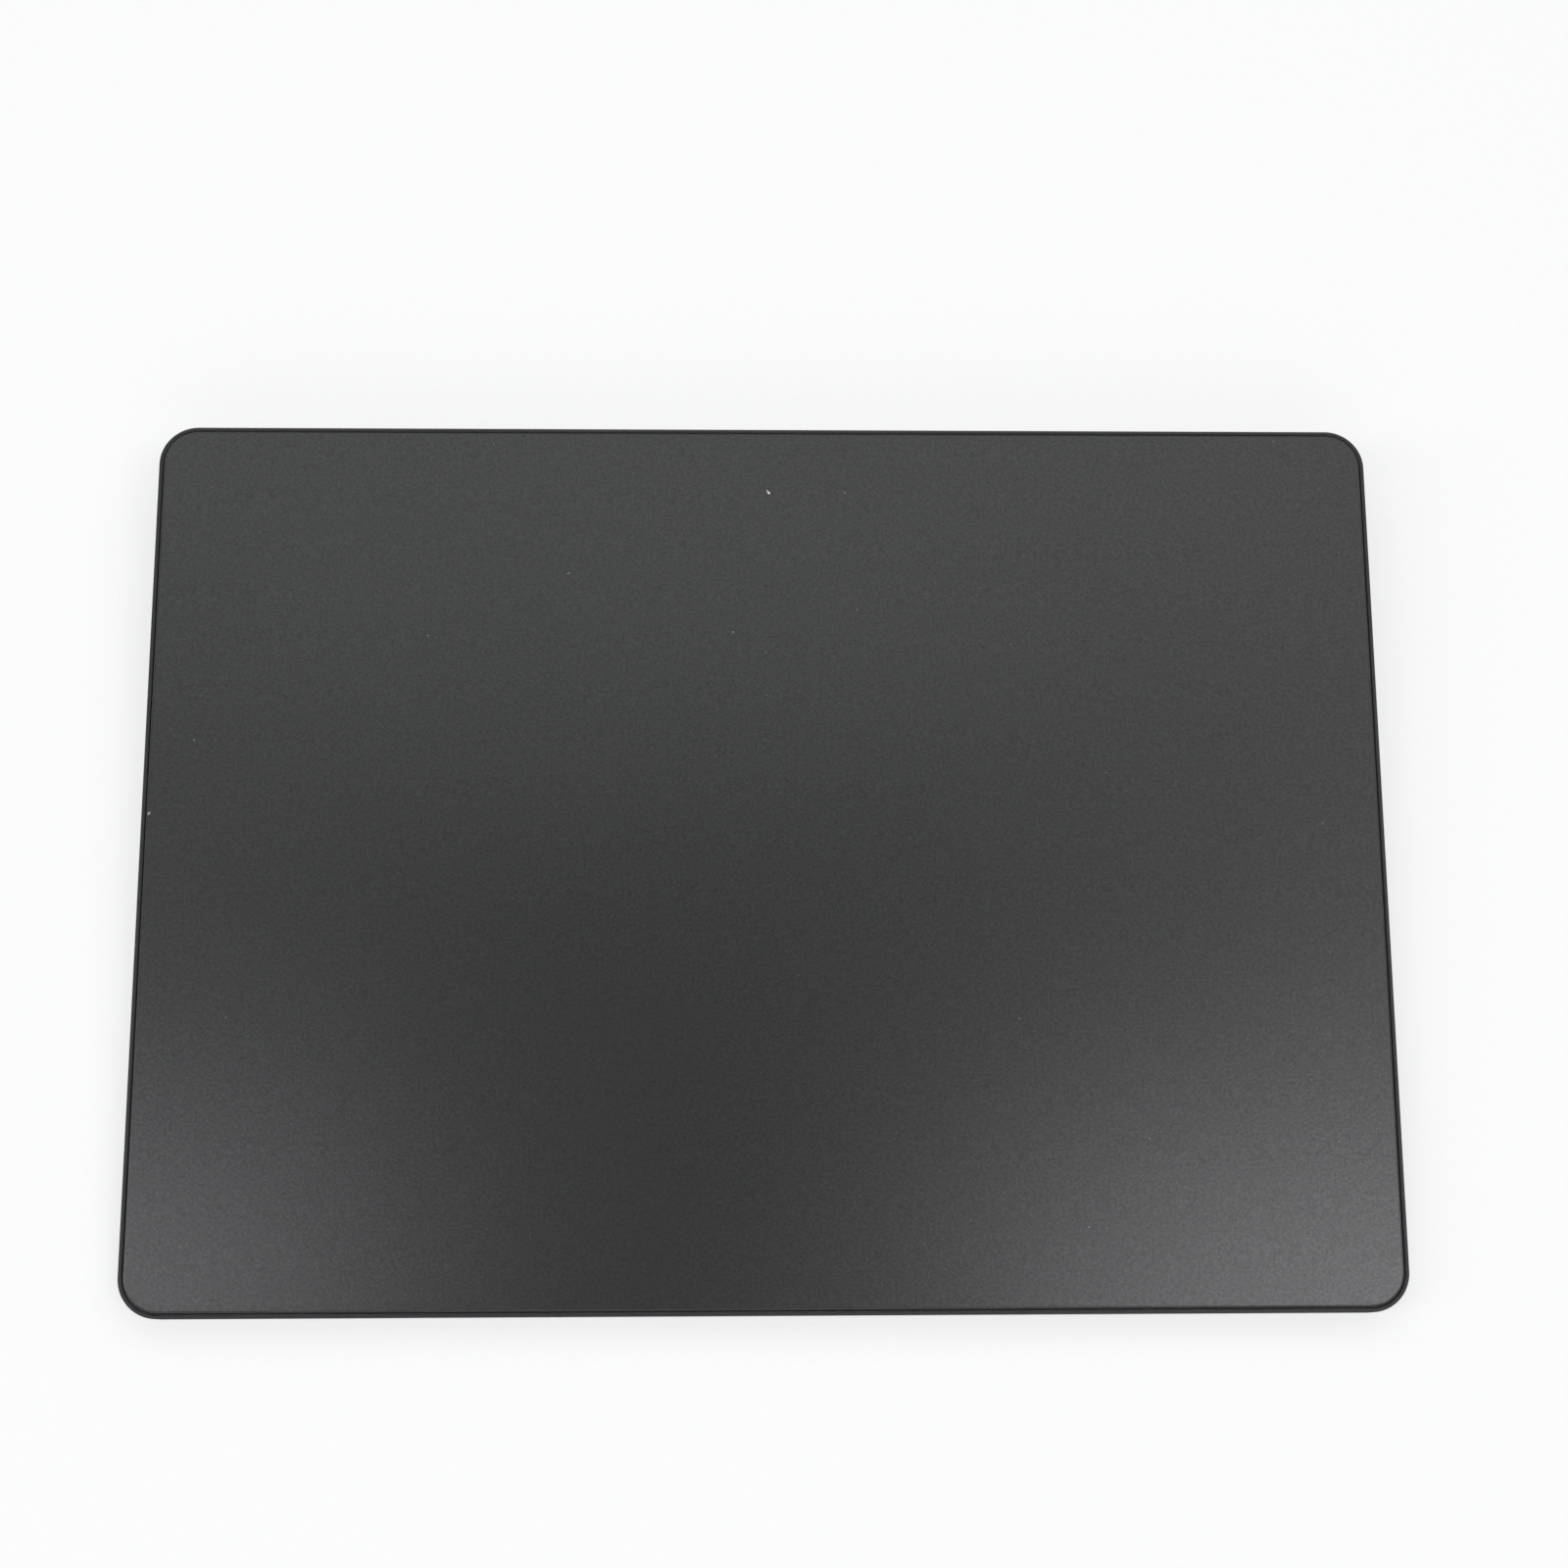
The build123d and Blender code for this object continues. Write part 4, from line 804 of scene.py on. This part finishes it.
def block_tree():
    """The same small block at each point given."""
    tree, given, result = new_tree(
        GEOMETRY_TREE, "Placed Blocks",
        {"Places": GEOMETRY, "Size": (1, 1, 1), "Finish": MATERIAL}, "Geometry",
    )
    small = add(tree, "GeometryNodeMeshCube", {"Size": given["Size"]})
    blocks = copies(tree, given["Places"], small[0])
    return end_tree(tree, result, blocks, given["Finish"])


def pad_tree():
    """Solder pads in a row along each edge given, square to it."""
    tree, given, result = new_tree(
        GEOMETRY_TREE, "Pad Rows",
        {"Edges": GEOMETRY, "Spacing": 0.0005, "Size": (1, 1, 1), "Finish": MATERIAL}, "Geometry",
    )
    sides = add(tree, "GeometryNodeMeshToCurve", {0: given["Edges"]})
    stops = add(
        tree, "GeometryNodeCurveToPoints",
        {"Curve": sides[0], "Length": given["Spacing"]},
        mode="LENGTH",
    )
    pad = add(tree, "GeometryNodeMeshCube", {"Size": given["Size"]})
    aim = add(tree, "FunctionNodeAlignRotationToVector", {"Vector": stops["Tangent"]}, axis="X")
    pads = copies(tree, stops["Points"], pad[0], Rotation=aim[0])
    return end_tree(tree, result, pads, given["Finish"])


class TRACKPAD_OT_prepare_effects(bpy.types.Operator):
    """Make the shared effects that the finishes use"""

    bl_idname = "trackpad.prepare_effects"
    bl_label = "Prepare Effects"

    def execute(self, context):
        for make in (
            surface_grain, drawn_lines, settled_dust, lone_fleck, routed_tracks, mouth_edge, bare_inside
        ):
            make()
        return {"FINISHED"}


class TRACKPAD_OT_finish_touch_stack(bpy.types.Operator):
    """Finish the glass and what is bonded under it"""

    bl_idname = "trackpad.finish_touch_stack"
    bl_label = "Touch Glass and Stack"

    def execute(self, context):
        dress("touch_glass", "glass_adhesive", "sensor_board", "sensor_chips", "sensor_connector")
        dress("stiffener_plate", "attraction_bars")
        return {"FINISHED"}


class TRACKPAD_OT_finish_case(bpy.types.Operator):
    """Finish the case, the base cover, the feet, the stops and the seals"""

    bl_idname = "trackpad.finish_case"
    bl_label = "Case and Feet"

    def execute(self, context):
        dress("enclosure", "base_cover", "base_adhesive", "dust_gasket", "press_stops")
        dress("foot_front_left", "foot_front_right", "foot_rear_left", "foot_rear_right")
        return {"FINISHED"}


class TRACKPAD_OT_finish_flexures(bpy.types.Operator):
    """Finish the force flexures, whose necks bend with their gauges, and the gel that gives sideways"""

    bl_idname = "trackpad.finish_flexures"
    bl_label = "Force Flexures"

    def execute(self, context):
        sizes = context.scene.trackpad_sizes
        dress("flexure_screws", "flexure_heads", "head_rivets")
        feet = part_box("force_flexures")
        heads = solid_boxes("flexure_heads")
        for row, near, side in (("front", 0, -1), ("rear", 1, 1)):
            foot = feet[near].y - side * sizes.flexure_foot
            head = next(box[near].y for box in heads if box[near].y * side > 0)
            stops = [foot + (head - foot) * step / NECK_STEPS for step in range(NECK_STEPS + 1)]
            for part, node in (("flexures", "force_flexures"), ("gauges", "strain_gauges")):
                strips = bending_copy(f"{part}_{row}", node, side, stops)
                bend(strips, node)
        pads = bending_copy("gel_cushions", "gel_pads")
        bend(pads, "gel_pads")
        return {"FINISHED"}


class TRACKPAD_OT_wind_coils(bpy.types.Operator):
    """Wind the coils of the haptic engine and finish the rest of it"""

    bl_idname = "trackpad.wind_coils"
    bl_label = "Haptic Engine"

    def execute(self, context):
        sizes = context.scene.trackpad_sizes
        dress("haptic_bracket", "haptic_core", "haptic_screws", "haptic_flex")
        boxes = solid_boxes("haptic_coils")
        centres = [(low + high) / 2 for low, high in boxes]
        length, across, rise = boxes[0][1] - boxes[0][0]
        wire = sizes.wire
        values = {
            "Turns": int((length - 2 * sizes.flange) / wire), "Wire Diameter": wire,
            "Across": across - wire, "Rise": rise - wire, "Corner": sizes.coil_corner,
        }
        windings = grown("coil_windings", "coil_copper", winding_tree(), values, centres)
        settle(windings, "coil_copper", "chassis", "haptic_coils")

        # Along a bobbin: a flange, a neck one wire deep under the turns, a flange, and back as its bore
        rim = length / 2
        neck = rim - sizes.flange
        outside = ((-rim, 0.0), (-neck, 0.0), (-neck, wire), (neck, wire), (neck, 0.0), (rim, 0.0))
        sections = [(x, across / 2 - inset, rise / 2 - inset) for x, inset in outside]
        sections += [(x, CORE_ARM_WIDTH / 2, rise / 2 - COIL_RISE) for x in (rim, -rim)]
        bobbins = bmesh.new()
        for centre in centres:
            loop = [self.ring(bobbins, centre, *section) for section in sections]
            for one, other in zip(loop, loop[1:] + loop[:1]):
                for corner in range(4):
                    following = (corner + 1) % 4
                    bobbins.faces.new((one[corner], one[following], other[following], other[corner]))
        bmesh.ops.recalc_face_normals(bobbins, faces=bobbins.faces)
        formers = object_of("coil_bobbins", bobbins)
        formers.data.materials.append(finish_of("connector_plastic"))
        settle(formers, "connector_plastic", "chassis", "haptic_coils")
        return {"FINISHED"}

    @staticmethod
    def ring(mesh, centre, x, half_across, half_rise):
        """Four corners of a rectangle round the coil's axis."""
        return [
            mesh.verts.new((centre.x + x, centre.y + y * half_across, centre.z + z * half_rise))
            for y, z in ((-1, -1), (1, -1), (1, 1), (-1, 1))
        ]


class TRACKPAD_OT_finish_battery(bpy.types.Operator):
    """Finish the battery, its tape, tabs, board and cable"""

    bl_idname = "trackpad.finish_battery"
    bl_label = "Battery"

    def execute(self, context):
        dress("battery_cell", "battery_tape", "battery_tabs", "battery_board", "battery_flex")
        return {"FINISHED"}


class TRACKPAD_OT_fit_board(bpy.types.Operator):
    """Finish the logic board, its antenna and its ribbon, and set out capacitors and solder pads"""

    bl_idname = "trackpad.fit_board"
    bl_label = "Logic Board"

    def execute(self, context):
        sizes = context.scene.trackpad_sizes
        dress("logic_board", "board_screws", "board_sockets", "touch_socket")
        dress("main_processor", "memory_chip", "radio_chip", "charger_chip", "power_inductor")
        dress("clock_crystal", "shield_can", "antenna_carrier", "antenna", "antenna_feed")
        self.set_capacitors(sizes)
        self.lay_pads(sizes)
        ribbon = bending_copy("touch_ribbon", "touch_flex")
        bend(ribbon, "touch_flex")
        return {"FINISHED"}

    @staticmethod
    def set_capacitors(sizes):
        """Ceramic bodies with a metal end on each side, where the board's plain ones lie."""
        blocks = block_tree()
        boxes = solid_boxes("board_capacitors")
        centres = [(low + high) / 2 for low, high in boxes]
        size = boxes[0][1] - boxes[0][0]
        step = sizes.cap_step
        body = {"Size": (size.x - 2 * sizes.cap_end, size.y - 2 * step, size.z - step)}
        places = [centre - Vector((0, 0, step / 2)) for centre in centres]
        bodies = grown("capacitor_bodies", "ceramic", blocks, body, places)
        settle(bodies, "ceramic", "chassis", "board_capacitors")
        aside = Vector(((size.x - sizes.cap_end) / 2, 0, 0))
        end = {"Size": (sizes.cap_end, size.y, size.z)}
        places = [centre + side * aside for centre in centres for side in (-1, 1)]
        ends = grown("capacitor_ends", "nickel", blocks, end, places)
        rounding = ends.modifiers.new("Ease", "BEVEL")
        rounding.width = sizes.ease
        rounding.segments = 2
        settle(ends, "nickel", "chassis", "board_capacitors")

    @staticmethod
    def lay_pads(sizes):
        """Rows of solder pads along the four sides of each package."""
        points = []
        out = sizes.pad_reach / 2
        inset = sizes.pad_spacing
        for name in ("main_processor", "memory_chip", "charger_chip", "clock_crystal"):
            low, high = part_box(name)
            level = low.z + sizes.pad_height / 2
            for x in (low.x - out, high.x + out):
                points += [(x, low.y + inset, level), (x, high.y - inset, level)]
            for y in (low.y - out, high.y + out):
                points += [(low.x + inset, y, level), (high.x - inset, y, level)]
        edges = [(start, start + 1) for start in range(0, len(points), 2)]
        pad = (sizes.pad_width, sizes.pad_reach, sizes.pad_height)
        values = {"Spacing": sizes.pad_spacing, "Size": pad}
        pads = grown("solder_pads", "nickel", pad_tree(), values, points, edges)
        settle(pads, "nickel", "chassis")


class TRACKPAD_OT_finish_port(bpy.types.Operator):
    """Finish the charging port"""

    bl_idname = "trackpad.finish_port"
    bl_label = "Charging Port"

    def execute(self, context):
        dress("port_shell", "port_tongue", "port_contacts", "port_gasket")
        return {"FINISHED"}


class TRACKPAD_OT_finish_switch(bpy.types.Operator):
    """Finish the power switch"""

    bl_idname = "trackpad.finish_switch"
    bl_label = "Power Switch"

    def execute(self, context):
        dress("switch_body", "switch_guide", "switch_cap", "switch_mark", "switch_plunger")
        return {"FINISHED"}


# Direction from the trackpad, width, height, power and colour of each lamp
LAMPS = {
    "lamp_front_right": ((0.354, -0.185, 0.917), 0.38, 0.21, 1.45, (0.96, 0.965, 1.0)),
    "lamp_front_left": ((-0.643, -0.146, 0.752), 0.95, 0.15, 2.56, (0.96, 0.965, 1.0)),
    "lamp_front": ((0.0, -0.788, 0.616), 0.90, 0.45, 1.53, (1.0, 1.0, 1.0)),
    "lamp_right": ((0.525, 0.191, 0.830), 0.44, 0.95, 1.58, (1.0, 1.0, 1.0)),
    "lamp_rear": ((-0.132, 0.491, 0.861), 0.87, 0.67, 2.40, (0.97, 1.0, 0.985)),
}
CAMERA_PLACE = (-0.005006, -0.062817, 0.292106)
CAMERA_TURN = (14.2677, -1.382, -0.3408)  # degrees
CAMERA_LENS = 52.09  # millimetres
CAMERA_SENSOR = 36.0  # millimetres wide
CAMERA_NEAR = 0.01
PAPER_FIBRE = 0.0008
PAPER_TONES = (display(247, 247, 247), display(254, 254, 254))
CEILING_START = 0.25  # upward part of a direction where the white horizon begins to fade
CEILING_FULL = 0.75  # and where only the ceiling is seen


class TRACKPAD_OT_set_stage(bpy.types.Operator):
    """Set the floor, the lamps, the sky and the camera"""

    bl_idname = "trackpad.set_stage"
    bl_label = "Stage"

    def execute(self, context):
        stage = context.scene.trackpad_stage
        self.floor(stage)
        self.lamps(context.scene, stage)
        self.sky(context.scene, stage)
        self.camera(context.scene)
        context.scene.view_settings.view_transform = "Standard"
        return {"FINISHED"}

    @staticmethod
    def lamps(scene, stage):
        """Soft rectangular lamps that all face the trackpad."""
        for name, (direction, width, height, power, colour) in LAMPS.items():
            light = bpy.data.lights.new(name, "AREA")
            light.shape = "RECTANGLE"
            light.size = width
            light.size_y = height
            light.energy = power * stage.lamp_strength
            light.color = colour
            lamp = bpy.data.objects.new(name, light)
            aim = Vector(direction).normalized()
            across = Vector((0, 1, 0)).cross(aim).normalized()
            lamp.location = aim * stage.lamp_distance
            lamp.rotation_euler = Matrix((across, aim.cross(across), aim)).transposed().to_euler()
            scene.collection.objects.link(lamp)

    @staticmethod
    def camera(scene):
        """The camera over the trackpad, tilted a little."""
        lens = bpy.data.cameras.new("camera")
        lens.lens = CAMERA_LENS
        lens.sensor_width = CAMERA_SENSOR
        lens.clip_start = CAMERA_NEAR
        camera = bpy.data.objects.new("camera", lens)
        camera.location = CAMERA_PLACE
        camera.rotation_euler = [math.radians(angle) for angle in CAMERA_TURN]
        scene.collection.objects.link(camera)
        scene.camera = camera

    @staticmethod
    def floor(stage):
        """Pale floor that takes a shadow near the trackpad and is plain white further out."""
        reach = stage.floor_reach
        corners = [(-reach, -reach, 0), (reach, -reach, 0), (reach, reach, 0), (-reach, reach, 0)]
        floor = plain_object("floor", corners, faces=[(0, 1, 2, 3)])
        material = bpy.data.materials.new("floor_paper")
        tree = blank_tree(material)
        place = object_place(tree)
        away = add(tree, "ShaderNodeVectorMath", {0: place}, operation="LENGTH")["Value"]
        far = stepped(tree, away, stage.shadow_reach / 2, stage.shadow_reach)
        tone = mixed(tree, noise(tree, place, PAPER_FIBRE), *PAPER_TONES)
        paper = add(tree, "ShaderNodeBsdfDiffuse", {"Color": tone})
        seen = add(tree, "ShaderNodeLightPath")["Is Camera Ray"]
        white = add(tree, "ShaderNodeEmission")
        share = maths(tree, "MULTIPLY", maths(tree, "MAXIMUM", far, stage.paper_white), seen)
        look = add(tree, "ShaderNodeMixShader", {0: share, 1: paper[0], 2: white[0]})
        add(tree, "ShaderNodeOutputMaterial", {"Surface": look[0]})
        floor.data.materials.append(material)

    @staticmethod
    def sky(scene, stage):
        """Even light all round, white where the camera or a reflection sees the horizon."""
        world = bpy.data.worlds.new("sky")
        scene.world = world
        tree = blank_tree(world)
        upward = parts(tree, add(tree, "ShaderNodeTexCoord")["Generated"])[2]
        height = stepped(tree, upward, CEILING_START, CEILING_FULL)
        ceiling = between(tree, height, 1.0, stage.sky_top)
        path = add(tree, "ShaderNodeLightPath")
        mirrored = maths(tree, "MAXIMUM", path["Is Glossy Ray"], path["Is Transmission Ray"])
        light = between(tree, mirrored, stage.sky_fill, ceiling)
        strength = between(tree, path["Is Camera Ray"], light, 1.0)
        sky = add(tree, "ShaderNodeBackground", {"Color": (1.0, 1.0, 1.0, 1.0), "Strength": strength})
        add(tree, "ShaderNodeOutputWorld", {"Surface": sky[0]})


OPERATORS = (
    TRACKPAD_OT_prepare_effects,
    TRACKPAD_OT_finish_touch_stack,
    TRACKPAD_OT_finish_case,
    TRACKPAD_OT_finish_flexures,
    TRACKPAD_OT_wind_coils,
    TRACKPAD_OT_finish_battery,
    TRACKPAD_OT_fit_board,
    TRACKPAD_OT_finish_port,
    TRACKPAD_OT_finish_switch,
    TRACKPAD_OT_set_stage,
)
GROUPS = {
    "trackpad_colours": TrackpadColours,
    "trackpad_sizes": TrackpadSizes,
    "trackpad_stage": TrackpadStage,
}


class TRACKPAD_PT_panel(bpy.types.Panel):
    """The trackpad's steps and values in the sidebar"""

    bl_label = "Trackpad"
    bl_idname = "TRACKPAD_PT_panel"
    bl_space_type = "VIEW_3D"
    bl_region_type = "UI"
    bl_category = "Trackpad"

    def draw(self, context):
        for operator in OPERATORS:
            self.layout.operator(operator.bl_idname)
        for group, values in GROUPS.items():
            box = self.layout.box()
            for name in values.__annotations__:
                box.prop(getattr(context.scene, group), name)


def register():
    for item in (*GROUPS.values(), *OPERATORS, TRACKPAD_PT_panel):
        bpy.utils.register_class(item)
    for group, values in GROUPS.items():
        setattr(bpy.types.Scene, group, bpy.props.PointerProperty(type=values))


def unregister():
    for group in GROUPS:
        delattr(bpy.types.Scene, group)
    for item in reversed((*GROUPS.values(), *OPERATORS, TRACKPAD_PT_panel)):
        bpy.utils.unregister_class(item)


def main():
    register()
    bpy.ops.trackpad.prepare_effects()
    bpy.ops.trackpad.finish_touch_stack()
    bpy.ops.trackpad.finish_case()
    bpy.ops.trackpad.finish_flexures()
    bpy.ops.trackpad.wind_coils()
    bpy.ops.trackpad.finish_battery()
    bpy.ops.trackpad.fit_board()
    bpy.ops.trackpad.finish_port()
    bpy.ops.trackpad.finish_switch()
    bpy.ops.trackpad.set_stage()


if __name__ == "__main__":
    main()
